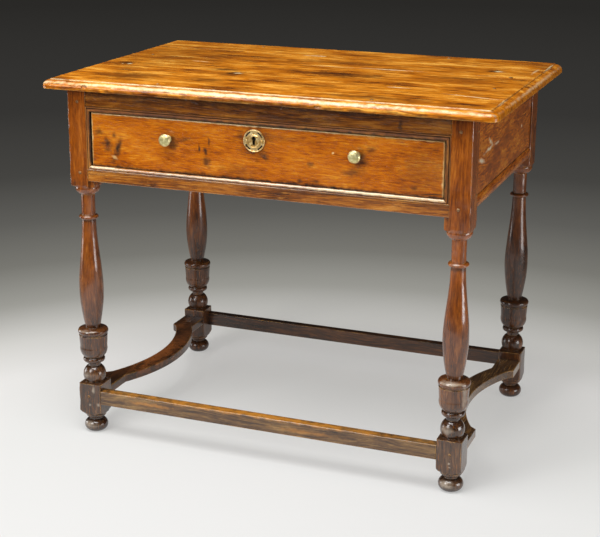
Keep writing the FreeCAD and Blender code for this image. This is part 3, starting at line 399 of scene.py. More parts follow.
def outline_rows():
    """Corner centre or straight place, and the way outwards, all round the top."""
    rows = []
    middle, half = (top_low + top_high) / 2, (top_high - top_low) / 2
    centres = [Vector((middle.x + sx * (half.x - corner_round), middle.y + sy * (half.y - corner_round), 0))
               for sx, sy in ((1, -1), (1, 1), (-1, 1), (-1, -1))]
    for index, centre in enumerate(centres):
        start = -math.pi / 2 + index * math.pi / 2
        for k in range(corner_steps + 1):
            angle = start + math.pi / 2 * k / corner_steps
            rows.append((centre, Vector((math.cos(angle), math.sin(angle), 0))))
        follow = centres[(index + 1) % len(centres)]
        count = round((follow - centre).length / outline_step)
        rows += [(centre.lerp(follow, k / count), rows[-1][1]) for k in range(1, count)]
    return rows


def moulding_rows():
    """Inset and height of the moulded edge, from the underside up to the flat of the top."""
    foot = top_high.z - edge_step - edge_drop
    rows = [(0.0, top_low.z), (0.0, (top_low.z + foot) / 2)]
    for k in range(round_steps + 1):
        angle = math.pi / 2 * (1 - k / round_steps)
        rows.append((edge_width * (1 - math.sin(angle)), foot + edge_drop * math.cos(angle)))
    ease = edge_step / 4
    return rows + [(edge_width + ease / 2, top_high.z - ease), (edge_width + 2 * ease, top_high.z),
                   (edge_width + edge_land, top_high.z)]


def edge_wear(point):
    """Inward wear of the edge at a point: a soft wander and a few dents."""
    wander = 0.5 + 0.5 * noise.noise(point / wander_size) + 0.35 * noise.noise(point / rough_size)
    dent = max(0.0, noise.noise(point / dent_size + dent_shift) - dent_limit)
    return wear_depth * wander + dent_depth * dent


outline, moulding = outline_rows(), moulding_rows()
print("outline of", len(outline), "places,", len(moulding), "heights")

# %% Slab
cut_step_x, cut_step_y, cut_count_x, cut_count_y = 20, 18, 21, 15
joint_cuts, cut_reach = (-7, -2.5, 2.5, 7), 1e-6


def cut(shape, place, way, **choices):
    """Cuts all of a shape along a plane."""
    bmesh.ops.bisect_plane(shape, geom=shape.verts[:] + shape.edges[:] + shape.faces[:], dist=cut_reach,
                           plane_co=place, plane_no=way, **choices)


slab = bmesh.new()
rings = []
for inset, height in moulding:
    ring = []
    for centre, way in outline:
        point = centre + way * (corner_round - inset)
        point.z = height
        worn = edge_wear(point) if top_low.z < height < top_high.z else 0.0
        ring.append(slab.verts.new(point - way * worn - Vector((0, 0, worn / 2))))
    rings.append(ring)
for lower, upper in zip(rings, rings[1:]):
    for k in range(len(lower)):
        n = (k + 1) % len(lower)
        slab.faces.new((lower[k], lower[n], upper[n], upper[k]))
slab.faces.new(rings[0][::-1])
slab.faces.new(rings[-1])
joints = [(near[1].y + beyond[0].y) / 2 for near, beyond in zip(board_boxes, board_boxes[1:])]
along_x, along_y = Vector((1, 0, 0)), Vector((0, 1, 0))
cuts = [(Vector((x * cut_step_x * mm, 0, 0)), along_x) for x in range(-cut_count_x, cut_count_x + 1)]
cuts += [(Vector((0, y * cut_step_y * mm, 0)), along_y) for y in range(-cut_count_y, cut_count_y + 1)]
cuts += [(Vector((0, joint + off * mm, 0)), along_y) for joint in joints for off in joint_cuts]
for place, way in cuts:
    cut(slab, place, way)
print("slab of", len(slab.faces), "faces")

# %% Planks
cup_depth, cup_length, cup_width = 0.35 * mm, 190 * mm, 70 * mm
joint_wear, joint_reach, joint_wander = 0.8 * mm, 2.2 * mm, 30 * mm
crease_angle, top_skin = math.radians(38), 0.1 * mm


def settled(point, low_y, high_y):
    """Place of a point on top of a plank that has cupped and worn; the plank's own place is its seed."""
    wave = noise.noise(Vector((point.x / cup_length, point.y / cup_width, low_y * 50)))
    own_joints = [joint for joint in joints if min(abs(joint - low_y), abs(joint - high_y)) < mm]
    to_joint = min(abs(point.y - joint) for joint in own_joints)
    worn = 0.55 + 0.45 * noise.noise(Vector((point.x / joint_wander, low_y * 90, 0.5)))
    drop = joint_wear * worn * math.exp(-to_joint / joint_reach)
    return Vector((point.x, point.y, point.z + cup_depth * wave - drop))


def shaded(shape):
    """Smooth faces with the sharp edges kept."""
    bmesh.ops.recalc_face_normals(shape, faces=shape.faces[:])
    for face in shape.faces:
        face.smooth = True
    for edge in shape.edges:
        edge.smooth = edge.calc_face_angle(0.0) < crease_angle


def new_piece(name, shape):
    """Object at the origin from a finished mesh shape."""
    mesh = bpy.data.meshes.new(name)
    shape.to_mesh(mesh)
    shape.free()
    piece = bpy.data.objects.new(name, mesh)
    scene.collection.objects.link(piece)
    return piece


planks = []
for name, (low, high) in zip(board_names, board_boxes):
    plank = slab.copy()
    for limit, way in ((low.y, -1), (high.y, 1)):
        if top_low.y + mm < limit < top_high.y - mm:
            cut(plank, along_y * limit, along_y * way, clear_outer=True)
            bmesh.ops.holes_fill(plank, edges=[e for e in plank.edges if e.is_boundary])
    for vert in plank.verts:
        if vert.co.z > top_high.z - top_skin:
            vert.co = settled(vert.co, low.y, high.y)
    shaded(plank)
    planks.append(new_piece(name.replace("board", "plank"), plank))
slab.free()
print("planks:", [len(plank.data.polygons) for plank in planks])

# %% [markdown]
# ## A split and three chips
# The front plank has split from its right end, and its edge has lost three chips. A painted line
# would vanish in raking light, so a crooked blade and three rough lumps are cut out of the plank.

# %% Split and chips
split_way = [Vector((x, y, 0)) for x, y in ((309, -150), (345, -157), (372, -160), (400, -169),
                                            (424, -172), (446, -188))]
split_width, split_depth, split_steps = 1.7 * mm, 21 * mm, 6
split_sway, sway_length = 0.7 * mm, 6
blade_over, blade_mouth, blade_heel = 3 * mm, 1.3, 0.5
chip_rough, chip_grit, chip_shift = 0.35, 1.8, 5
# Centre and radii of each chip in millimetres.
chip_rows = (((-345, -288.5, 711), (7, 3.2, 3.6)), ((440, -66, 711), (3.2, 6, 4)),
             ((120, -289, 706), (9, 2.2, 3)))


def split_blade():
    """Crooked wedge that opens and deepens towards the end of the plank."""
    places = [a.lerp(b, k / split_steps) for a, b in zip(split_way, split_way[1:])
              for k in range(split_steps)]
    blade = bmesh.new()
    rows = []
    for index, place in enumerate(places + [split_way[-1]]):
        share = (index + 1) / len(places)
        middle = place * mm + Vector((0, split_sway * noise.noise(place / sway_length), 0))
        half = Vector((0, split_width / 2 * share, 0))
        top, deep = Vector((0, 0, top_high.z + blade_over)), Vector((0, 0, top_high.z - split_depth * share))
        mouth, heel = half * blade_mouth, half * blade_heel
        corners = (middle - mouth + top, middle + mouth + top, middle + heel + deep, middle - heel + deep)
        rows.append([blade.verts.new(corner) for corner in corners])
    for near, beyond in zip(rows, rows[1:]):
        for k in range(4):
            blade.faces.new((near[k], near[(k + 1) % 4], beyond[(k + 1) % 4], beyond[k]))
    blade.faces.new(rows[0][::-1])
    blade.faces.new(rows[-1])
    bmesh.ops.recalc_face_normals(blade, faces=blade.faces[:])
    return new_piece("split_blade", blade)


def chip_lump(index, centre, radii):
    """Rough lump that is broken out of the edge."""
    lump = bmesh.new()
    bmesh.ops.create_icosphere(lump, subdivisions=3, radius=1.0)
    for vert in lump.verts:
        rough = 1 + chip_rough * noise.noise(vert.co * chip_grit + Vector((index * chip_shift, 0, 0)))
        vert.co = Vector([centre[i] + vert.co[i] * radii[i] * rough for i in range(3)]) * mm
    return new_piece("chip_lump", lump)


cutters = [split_blade()] + [chip_lump(i, *row) for i, row in enumerate(chip_rows)]
for cutter in cutters:
    saw = planks[0].modifiers.new("saw", "BOOLEAN")
    saw.object, saw.solver = cutter, "EXACT"
graph = bpy.context.evaluated_depsgraph_get()
sawn = bpy.data.meshes.new_from_object(planks[0].evaluated_get(graph), depsgraph=graph)
planks[0].modifiers.clear()
planks[0].data = sawn
for cutter in cutters:
    bpy.data.objects.remove(cutter)
print("front plank now has", len(sawn.polygons), "faces")

# %% Finish of the top
honey = ("#582804", "#A85A02", "#D07C06", "#EEB04A")
top_shifts = ((0, 0, 0), (900, 300, 40), (-700, 820, 90))
top_level = top_high.z / mm
# Painted shade: the broad dark patch on the left of the top.
top_stains_and_shade = on_face(2, top_level, 9, (
    (-378, -56, 24, 28, 0.95, 20), (-126, -92, 30, 30, 1.0, 30), (-149, -182, 50, 30, 0.6),
    (-300, -190, 80, 50, 0.6, 10), (60, -30, 110, 34, 0.65, -6), (200, -235, 120, 24, 0.6),
    (-20, 110, 120, 26, 0.35), (300, 20, 80, 26, 0.45), (130, -20, 45, 30, 0.5),
    (-320, 70, 190, 220, 0.3), (60, -160, 70, 24, 0.45)))
top_stains_and_shade += on_face(2, top_level, 7, ((-165, -56, 36, 20, 0.8, 8), (336, 128, 22, 18, 0.95)))
# Painted shade: a dark line below the step of the front moulding and a darker lower part of the front edge.
top_stains_and_shade += [((0, -276.8, 717.6), (700, 2.0, 2.4), 0.5), ((0, -290, 704), (700, 6, 5.5), 0.75)]
# Painted highlight: the last of these, a pale line along the inner edge of the front moulding.
top_scuffs_and_highlights = on_face(2, top_level, 3, (
    (-370, -62, 8, 9, 0.8), (-118, -85, 10, 7, 0.8, 20), (-60, 178, 26, 7, 0.9), (140, 66, 70, 4, 0.7, 1),
    (344, 126, 12, 7, 0.8), (365, -163, 75, 4, 0.7, -12), (215, -122, 26, 5, 0.8), (410, 150, 4, 40, 0.4),
    (20, 60, 60, 4, 0.5, 2), (-250, 20, 30, 4, 0.5), (0, -274.5, 700, 3, 0.7)))
# Painted highlights: a cream band along the front round, and pale lines on the step and the round of the
# right end.
top_scuffs_and_highlights += [((-60, -284, 714), (700, 6, 5), 0.85), ((425.5, 215, 719.5), (2.6, 70, 3), 0.7),
               ((425.5, -190, 719.5), (2.6, 40, 3), 0.5), ((436, 20, 713), (5, 330, 4), 0.35)]
# Waxed oak, planed and wiped for ages: honey gold with a satin shine and pale scratches. The cream band
# along the front edge and the pale lines on the moulding are painted highlights, and the dark lines at the
# front edge and the dark left part are painted shade.
for plank, name, shift in zip(planks, board_names, top_shifts):
    plank.data.materials.clear()
    plank.data.materials.append(oak("waxed_oak_" + name, "x", honey, shift=shift, stains_and_shade=top_stains_and_shade,
                                    stain_and_shade="#3A1C08", scuffs_and_highlights=top_scuffs_and_highlights, scuff_and_highlight="#F4E2B4", breadth=1.7,
                                    dirt=0.25, bare="#F2C670", wax=0.15, gloss=(0.26, 0.40), ior=1.32,
                                    stretch=1.5, streak=0.5, fleck=0.55, smudge=0.2))
    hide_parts(name)
    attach(plank, "frame")
print("top finished with", len(top_stains_and_shade), "stains and", len(top_scuffs_and_highlights), "scuffs_and_highlights")

# %% [markdown]
# ## Turned legs
# Each leg was turned on a lathe at its foot and between its two square blocks. A turning follows
# a rule: one profile swept round one axis. So Geometry Nodes make it: a line of points carries
# the profile's radius, a circle is swept along it, whatever stands outside the square stock is
# pressed back to its flats, and a little noise wears it. The cup under the baluster is wider than
# the blocks, so it has a wider limit of its own.

# %% Profile of a leg
leg_low, leg_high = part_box("leg_front_left")
leg_stock, leg_height = 48 * mm, leg_high.z - leg_low.z
block_radius, square_round, foot_pad = 38.9, math.sqrt(0.5), 14.0
arc_step, line_step, belly_step = 1.1, 3.0, 4
# Kind, end radius and rise in millimetres; a swell adds the radius that it passes and where.
foot_rows = (("swell", 13.2, 25.0, 23.6, 0.5), ("line", 13.2, 4.0), ("line", 14.5, 0.2),
             ("shoulder", 21.0, 7.0), ("line", block_radius, 13.0), ("line", block_radius, 55.0),
             ("line", 18.5, 2.5), ("swell", 14.0, 32.0, 22.8, 0.46), ("line", 12.6, 0.2),
             ("line", 12.6, 8.0), ("line", 15.0, 0.2), ("swell", 18.5, 11.0, 21.8, 0.5),
             ("line", 18.5, 2.0), ("line", 21.5, 0.2), ("shoulder", 26.8, 20.0), ("line", 28.3, 24.0),
             ("line", 27.0, 0.2), ("line", 27.0, 2.0), ("swell", 27.6, 11.0, 30.0, 0.5),
             ("line", 14.6, 2.0))
cup_limits, cup_room = (158.5, 219.8), 40.0
baluster_shares = (0.0, 0.17, 0.39, 0.67, 0.86, 1.0)
baluster_radii = (14.6, 21.0, 23.8, 18.5, 14.8, 13.2)
baluster_height = 214.0
leg_lifts = {"leg_front_left": 14.0, "leg_back_right": 14.0}
head_rows = (("line", 14.6, 0.2), ("swell", 14.6, 7.5, 18.9, 0.5), ("line", 13.5, 0.2), ("line", 13.5, 42.0),
             ("line", 15.0, 1.5))
bowl_rows = (("shoulder", 23.5, 14.0), ("line", block_radius, 7.0))


def arc_through(a, b, c):
    """Points on the round from a through b to c, without a."""
    d = 2 * (a.x * (b.y - c.y) + b.x * (c.y - a.y) + c.x * (a.y - b.y))
    sa, sb, sc = a.length_squared, b.length_squared, c.length_squared
    centre = Vector(((sa * (b.y - c.y) + sb * (c.y - a.y) + sc * (a.y - b.y)) / d,
                     (sa * (c.x - b.x) + sb * (a.x - c.x) + sc * (b.x - a.x)) / d))
    start, through, end = (math.atan2(p.y - centre.y, p.x - centre.x) for p in (a, b, c))
    turn = (end - start) % math.tau
    if (through - start) % math.tau > turn:
        turn -= math.tau
    radius = (a - centre).length
    count = max(4, round(abs(turn) * radius / arc_step))
    return [centre + radius * Vector((math.cos(start + turn * k / count), math.sin(start + turn * k / count)))
            for k in range(1, count + 1)]


def walk(points, rows):
    """Adds the mouldings of a table of rows to a profile."""
    for kind, radius, rise, *rounding in rows:
        here = points[-1]
        end = Vector((radius, here.y + rise))
        if kind == "swell":
            points += arc_through(here, Vector((rounding[0], here.y + rise * rounding[1])), end)
        elif kind == "shoulder":
            middle = here + Vector(((radius - here.x) * square_round, rise * (1 - square_round)))
            points += arc_through(here, middle, end)
        else:
            count = max(1, round(rise / line_step))
            points += [here.lerp(end, k / count) for k in range(1, count + 1)]


def leg_profile(lift):
    """Profile of a leg whose baluster is longer by a lift, and the height where its upper bowl starts."""
    points = [Vector((foot_pad, 0.0))]
    walk(points, foot_rows)
    foot, height = points[-1].y, baluster_height + lift
    belly = numpy.polyfit([s * height for s in baluster_shares], baluster_radii, len(baluster_shares) - 1)
    points += [Vector((numpy.polyval(belly, rise), foot + rise))
               for rise in numpy.arange(belly_step, height, belly_step)]
    walk(points, head_rows)
    bowl_foot = points[-1].y * mm
    walk(points, bowl_rows)
    walk(points, (("line", block_radius, leg_height / mm - points[-1].y),))
    return points, bowl_foot


print("leg profile of", len(leg_profile(0.0)[0]), "points")

# %% Tree and runner for Geometry Nodes
def node_tree(name, sockets):
    """Geometry Nodes tree with named inputs; gives the tree and the sockets of its input node."""
    tree = bpy.data.node_groups.new(name, "GeometryNodeTree")
    tree.interface.new_socket("Geometry", in_out="INPUT", socket_type="NodeSocketGeometry")
    for label, kind in sockets.items():
        tree.interface.new_socket(label, in_out="INPUT", socket_type="NodeSocket" + kind)
    tree.interface.new_socket("Geometry", in_out="OUTPUT", socket_type="NodeSocketGeometry")
    return tree, tree.nodes.new("NodeGroupInput").outputs


def close_tree(tree, geometry, material):
    """Ends a tree: shades it, realizes instances and sets the material."""
    smooth = add(tree, "SetShadeSmooth", {0: geometry, 2: True})
    angle = add(tree, "InputMeshEdgeAngle", ())
    sharp = add(tree, "Compare", (angle, crease_angle), operation="GREATER_THAN")
    smooth = add(tree, "SetShadeSmooth", (smooth, sharp, False), domain="EDGE")
    real = add(tree, "RealizeInstances", (smooth,))
    done = add(tree, "SetMaterial", {0: real, 2: material})
    add(tree, "NodeGroupOutput", (done,))


def grown(name, base, tree, values):
    """Runs a tree on a base mesh and keeps the result as a plain mesh at the origin."""
    piece = bpy.data.objects.new(name, base)
    scene.collection.objects.link(piece)
    maker = piece.modifiers.new("make", "NODES")
    maker.node_group = tree
    identifiers = {item.name: item.identifier for item in tree.interface.items_tree if item.in_out == "INPUT"}
    for label, value in values.items():
        maker[identifiers[label]] = value
    graph = bpy.context.evaluated_depsgraph_get()
    mesh = bpy.data.meshes.new_from_object(piece.evaluated_get(graph), depsgraph=graph)
    piece.modifiers.remove(maker)
    piece.data = mesh
    return piece


print("runner ready")

# %% Tree of a turned leg
leg_tree, given = node_tree("turned_leg", {"Arris": "Float", "Sides": "Int", "Wear": "Float",
                                           "Wear Size": "Float", "Seed": "Float", "Place": "Vector",
                                           "Rebate Size": "Vector", "Rebate Place": "Vector",
                                           "Material": "Material"})
line = add(leg_tree, "MeshToCurve", (given["Geometry"],))
radius = add(leg_tree, "InputNamedAttribute", ("turned_radius",), data_type="FLOAT")
ring = add(leg_tree, "CurvePrimitiveCircle", {"Resolution": given["Sides"], "Radius": 1.0})
body = add(leg_tree, "CurveToMesh",
           {"Curve": line, "Profile Curve": ring, "Scale": radius, "Fill Caps": True})
spot = add(leg_tree, "InputPosition", ())
half = add(leg_tree, "InputNamedAttribute", ("stock_half",), data_type="FLOAT")
worn_arris = add(leg_tree, "TexNoise", {"Vector": spot, "W": given["Seed"], "Scale": 60.0, "Detail": 2.0},
                 noise_dimensions="4D")
worn_arris = add(leg_tree, "MapRange", (worn_arris, 0.3, 0.7, 0.55, 1.5))
power = add(leg_tree, "Math", (given["Arris"], worn_arris), operation="MULTIPLY")
across = add(leg_tree, "SeparateXYZ", (spot,))
reach = None
for axis in ("X", "Y"):
    side = add(leg_tree, "Math", (across.outputs[axis],), operation="ABSOLUTE")
    side = add(leg_tree, "Math", (side, half), operation="DIVIDE")
    side = add(leg_tree, "Math", (side, power), operation="POWER")
    reach = side if reach is None else add(leg_tree, "Math", (reach, side), operation="ADD")
root = add(leg_tree, "Math", (1.0, power), operation="DIVIDE")
reach = add(leg_tree, "Math", (reach, root), operation="POWER")
reach = add(leg_tree, "Math", (reach, 1.0), operation="MAXIMUM")
shrink = add(leg_tree, "Math", (1.0, reach), operation="DIVIDE")
held = [add(leg_tree, "Math", (across.outputs[axis], shrink), operation="MULTIPLY")
        for axis in ("X", "Y")]
held = add(leg_tree, "CombineXYZ", (held[0], held[1], across.outputs["Z"]))
body = add(leg_tree, "SetPosition", {0: body, 2: held})
rough = add(leg_tree, "Math", (1.0, given["Wear Size"]), operation="DIVIDE")
rough = add(leg_tree, "TexNoise", {"Vector": spot, "W": given["Seed"], "Scale": rough, "Detail": 3.0},
            noise_dimensions="4D")
rough = add(leg_tree, "MapRange", (rough, 0.25, 0.75, -1.0, 1.0))
rough = add(leg_tree, "Math", (rough, given["Wear"]), operation="MULTIPLY")
outwards = add(leg_tree, "InputNormal", ())
outwards = add(leg_tree, "VectorMath", (outwards, (1, 1, 0)), operation="MULTIPLY")
outwards = add(leg_tree, "VectorMath", {0: outwards, "Scale": rough}, operation="SCALE")
body = add(leg_tree, "SetPosition", {0: body, 3: outwards})
body = add(leg_tree, "Transform", {0: body, "Translation": given["Place"]})
rebate = add(leg_tree, "MeshCube", {"Size": given["Rebate Size"]})
rebate = add(leg_tree, "Transform", {0: rebate, "Translation": given["Rebate Place"]})
body = add(leg_tree, "MeshBoolean", (body, rebate), operation="DIFFERENCE", solver="EXACT")
close_tree(leg_tree, body.outputs["Mesh"], given["Material"])
print("leg tree has", len(leg_tree.nodes), "nodes")

# %% Oak of the legs
red_brown = ("#562606", "#7C3C06", "#964C08", "#B0661A")
dark_brown = ("#1A0F08", "#331C0C", "#4E2C12", "#6E421E")
smoked = ("#24160C", "#382416", "#4E3420", "#6E5036")
# Painted shade: the broad darkening of the left front leg.
front_stains_and_shade = (((-371, -244, 442), (60, 60, 6), 0.6), ((371, -244, 428), (60, 60, 6), 0.6),
                ((-371, -244, 340), (90, 90, 300), 0.25), ((-385, -268, 519), (14, 9, 16), 0.5))
# Painted highlights: the pale patches on the balls, the feet and the side of the right cup; the pale marks on
# the collars are partly wear and partly painted highlight.
front_scuffs_and_highlights = (((-362, -268, 92), (4, 5, 13), 0.6), ((-352, -268, 62), (5, 5, 5), 0.5),
                ((373, -268, 60), (3, 5, 3), 0.8), ((374, -268, 53), (3, 5, 2), 0.6),
                ((-371, -268, 60), (4, 5, 4), 0.4), ((-371, -264, 452.5), (30, 9, 4), 0.8),
                ((371, -264, 438.5), (20, 9, 3), 0.5), ((371, -270, 216), (34, 16, 4), 0.7),
                ((395, -262, 190), (4, 20, 34), 0.5), ((-371, -270, 216), (30, 14, 3), 0.4),
                ((-375, -264, 16), (20, 14, 10), 0.5), ((367, -264, 16), (20, 14, 10), 0.6),
                ((-375, -262, 124), (16, 12, 9), 0.45), ((367, -262, 124), (16, 12, 9), 0.45))
# Painted shade: the right back leg darkened all over.
back_leg_painted_shade = (((371, 244, 430), (90, 90, 400), 0.55),)
# Waxed oak, turned and rubbed: red brown and bright above, smoked and scuffed towards the foot. The left
# front leg is painted darker as shade, the pale patches on the balls, the feet and the right cup are
# painted highlights, and the pale marks on the collars are partly wear and partly painted highlight.
front_leg_oak = oak("waxed_oak_front_legs", "z", red_brown, low_tones=smoked, fade=(0.16, 0.58),
                    stains_and_shade=front_stains_and_shade, stain_and_shade="#241A14", scuffs_and_highlights=front_scuffs_and_highlights, scuff_and_highlight="#B8AA98", fleck=0.3,
                    smudge=0.25, wax=0.5, stretch=0.6)
# Waxed oak out of reach of hands: the same red brown, sooner dark and with less shine, and the right back
# leg painted darker as shade.
back_leg_oak = oak("waxed_oak_back_legs", "z", red_brown, low_tones=dark_brown, fade=(0.30, 0.60),
                   stains_and_shade=back_leg_painted_shade, stain_and_shade="#1A120E", fleck=0.3, smudge=0.25, wax=0.25,
                   gloss=(0.24, 0.40), stretch=0.6)
print("leg oak ready")

# %% Legs
moulding_low, moulding_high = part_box("opening_moulding_left")
mould_width, overrun, out_of_reach = moulding_high.x - moulding_low.x, 4 * mm, Vector((0, 0, 2))
for seed, name in enumerate(("leg_front_left", "leg_front_right", "leg_back_left", "leg_back_right")):
    low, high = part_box(name)
    middle = (low + high) / 2
    profile, bowl_foot = leg_profile(leg_lifts.get(name, 0.0))
    axis_mesh = bpy.data.meshes.new(name + "_axis")
    axis_mesh.from_pydata([(0, 0, p.y * mm) for p in profile],
                          [(i, i + 1) for i in range(len(profile) - 1)], [])
    sizes = axis_mesh.attributes.new("turned_radius", "FLOAT", "POINT")
    sizes.data.foreach_set("value", [p.x * mm for p in profile])
    limits = axis_mesh.attributes.new("stock_half", "FLOAT", "POINT")
    limits.data.foreach_set("value", [cup_room * mm if cup_limits[0] < p.y < cup_limits[1] else leg_stock / 2
                                      for p in profile])
    inner_x = middle.x - math.copysign(leg_stock / 2, middle.x)
    size = Vector((2 * mould_width, 2 * (moulding_high.y - low.y), leg_height - bowl_foot + overrun))
    place = Vector((inner_x, low.y, leg_height - size.z / 2 + overrun))
    at_back = middle.y > 0
    leg = grown("turned_" + name, axis_mesh, leg_tree,
                {"Arris": 22.0, "Sides": 144, "Wear": 0.30 * mm, "Wear Size": 26 * mm,
                 "Seed": 3.0 * seed + 1.0, "Place": (middle.x, middle.y, 0.0), "Rebate Size": size,
                 "Rebate Place": out_of_reach if at_back else place,
                 "Material": back_leg_oak if at_back else front_leg_oak})
    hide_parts(name)
    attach(leg, "frame")
    print(name, len(leg.data.polygons), "faces")

# %% [markdown]
# ## Pegs
# Cleft oak pegs hold every tenon and the planks. They were shaved with a knife, so their ends
# are many-sided and stand a hair proud. The CAD pegs say where each one is. Geometry Nodes put
# one small peg at each place, turned and sized a little differently.

# %% Tree of the pegs
peg_sides = 9
peg_tree, given = node_tree("cleft_pegs", {"Radius": "Float", "Proud": "Float", "Depth": "Float",
                                           "Seed": "Int", "Material": "Material"})
shank = add(peg_tree, "MeshCone",
            {"Vertices": peg_sides, "Radius Top": 0.94, "Radius Bottom": 0.9, "Depth": 1.0})
cap = add(peg_tree, "MeshCone",
          {"Vertices": peg_sides, "Radius Top": 0.55, "Radius Bottom": 0.94, "Depth": 1.0})
across = add(peg_tree, "CombineXYZ", (given["Radius"], given["Radius"], given["Depth"]))
drop = add(peg_tree, "Math", (given["Depth"], -1.0), operation="MULTIPLY")
drop = add(peg_tree, "CombineXYZ", {2: drop})
shank = add(peg_tree, "Transform", {0: shank, "Translation": drop, "Scale": across})
across = add(peg_tree, "CombineXYZ", (given["Radius"], given["Radius"], given["Proud"]))
cap = add(peg_tree, "Transform", {0: cap, "Scale": across})
peg = add(peg_tree, "JoinGeometry", (shank,))
peg_tree.links.new(cap.outputs[0], peg.inputs[0])
peg = add(peg_tree, "MergeByDistance", (peg,))
facing = add(peg_tree, "InputNamedAttribute", ("facing",), data_type="FLOAT_VECTOR")
turn = add(peg_tree, "AlignRotationToVector", {"Vector": facing}, axis="Z")
spin = add(peg_tree, "RandomValue", {2: 0.0, 3: math.tau, "Seed": given["Seed"]}, data_type="FLOAT")
spin = add(peg_tree, "AxisAngleToRotation", {"Angle": spin.outputs[1]})
turn = add(peg_tree, "RotateRotation", (turn, spin), rotation_space="LOCAL")
size = add(peg_tree, "RandomValue", {0: (0.9, 0.9, 0.6), 1: (1.06, 1.06, 1.1), "Seed": given["Seed"]},
           data_type="FLOAT_VECTOR")
pegs = add(peg_tree, "InstanceOnPoints",
           {"Points": given["Geometry"], "Instance": peg, "Rotation": turn, "Scale": size.outputs[0]})
close_tree(peg_tree, pegs, given["Material"])
print("peg tree has", len(peg_tree.nodes), "nodes")

# %% Pegs
peg_proud, peg_depth, weld_reach = 0.8 * mm, 12 * mm, 1e-5
# Pale tones for dry oak, made paler still as a painted glint on the peg ends.
peg_brown_and_glint = ("#4A2E18", "#74502E", "#94704A", "#B8966C")


def islands(mesh):
    """Lowest and highest corners of each separate solid in a mesh, in a fixed order."""
    shape = bmesh.new()
    shape.from_mesh(mesh)
    bmesh.ops.remove_doubles(shape, verts=shape.verts[:], dist=weld_reach)
    left, found = set(shape.verts), []
    while left:
        front = [left.pop()]
        group = []
        while front:
            vert = front.pop()
            group.append(vert.co.copy())
            near = {e.other_vert(vert) for e in vert.link_edges} & left
            left -= near
            front += near
        found.append([Vector([pick(p[i] for p in group) for i in range(3)]) for pick in (min, max)])
    shape.free()
    return sorted(found, key=lambda box: tuple(box[0]))


# Cleft oak, never waxed, made paler as well for a painted glint: pale dull dots in the darker blocks.
peg_oak = oak("cleft_oak_pegs", "y", peg_brown_and_glint, shift=(40, 70, 20), wear=0.2, dirt=0.3, wax=0.0,
              gloss=(0.45, 0.6))
for name in ("rail_pegs", "stretcher_pegs", "top_pegs"):
    places, ways, radius = [], [], 0.0
    for low, high in islands(nodes[name].data):
        middle, size = (low + high) / 2, high - low
        axis = max(range(3), key=lambda i: size[i])
        way = Vector((0, 0, 0))
        way[axis] = math.copysign(1, middle[axis])
        places.append(middle + way * size[axis] / 2)
        ways.append(way)
        radius = sorted(size)[0] / 2
    spots = bpy.data.meshes.new(name + "_places")
    spots.from_pydata(places, [], [])
    facings = spots.attributes.new("facing", "FLOAT_VECTOR", "POINT")
    facings.data.foreach_set("vector", [c for way in ways for c in way])
    pegs = grown("cleft_" + name, spots, peg_tree, {"Radius": radius, "Proud": peg_proud, "Depth": peg_depth,
                                                    "Seed": 4, "Material": peg_oak})
    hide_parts(name)
    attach(pegs, "frame")
    print(name, len(places), "pegs", len(pegs.data.polygons), "faces")

# %% [markdown]
# ## Oak on the rest
# The drawer, the rails, the mouldings and the stretchers keep their CAD meshes, because planed and
# sawn work is crisp. Their faces would all look alike with one finish. So each takes the oak
# recipe with its own tones, stains and scuffs, and some take painted shade and painted highlights
# as well: dark patches round the knobs, a painted highlight along the bead under the drawer,
# painted shadow lines round the drawer, gold where feet rest.

# %% Drawer front
def finish(material, *names):
    """Gives a finish to pieces of the frame."""
    for name in names:
        slots = nodes[name].data.materials
        slots.clear()
        slots.append(material)


orange = ("#7A3806", "#AA5604", "#BE6804", "#CE841E")
drawer_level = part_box("drawer_front")[0].y / mm
drawer_stains = on_face(1, drawer_level, 9, (
    (-312, 600, 16, 20, 0.95, -25), (-291, 592, 9, 34, 1.0, 18), (-330, 622, 11, 9, 0.75),
    (-297, 620, 6, 9, 0.75), (-121, 607, 4, 10, 1.0, 8), (-109, 604, 5, 11, 1.0, -8),
    (-102, 622, 4, 14, 0.85), (-107, 584, 13, 12, 0.8), (-148, 622, 17, 6, 0.65, -15),
    (8, 603, 13, 9, 0.8, 20), (98, 597, 9, 7, 0.7), (79, 564, 9, 6, 0.75), (108, 565, 12, 5, 0.75),
    (174, 588, 22, 9, 0.7), (211, 633, 12, 9, 0.65), (292, 572, 9, 6, 0.65), (-180, 617, 22, 22, 0.8),
    (191, 615, 23, 23, 0.8), (-11, 630, 40, 38, 0.9), (328, 563, 30, 2, 1.0, -5), (-40, 570, 60, 16, 0.3),
    (40, 640, 80, 9, 0.3), (310, 600, 70, 80, 0.35)))
drawer_scuffs_and_highlights = on_face(1, drawer_level, 4, ((140, 621, 3, 2.5, 0.9), (-298, 576, 9, 4, 0.5, 30)))
# Painted highlights: cream lines along the side and top arrises of the drawer.
drawer_scuffs_and_highlights += [((345, -265, 600), (4, 4, 90), 0.7), ((-345, -265, 610), (4, 4, 80), 0.8),
                  ((0, -265.5, 658.5), (700, 6, 3.4), 0.9)]
# Painted shade: black in the keyhole and a dark line in the gap under the drawer.
drawer_painted_shade = (((-11, -252, 631), (20, 40, 24), 1.0), ((0, -266, 555), (700, 9, 8), 1.0))
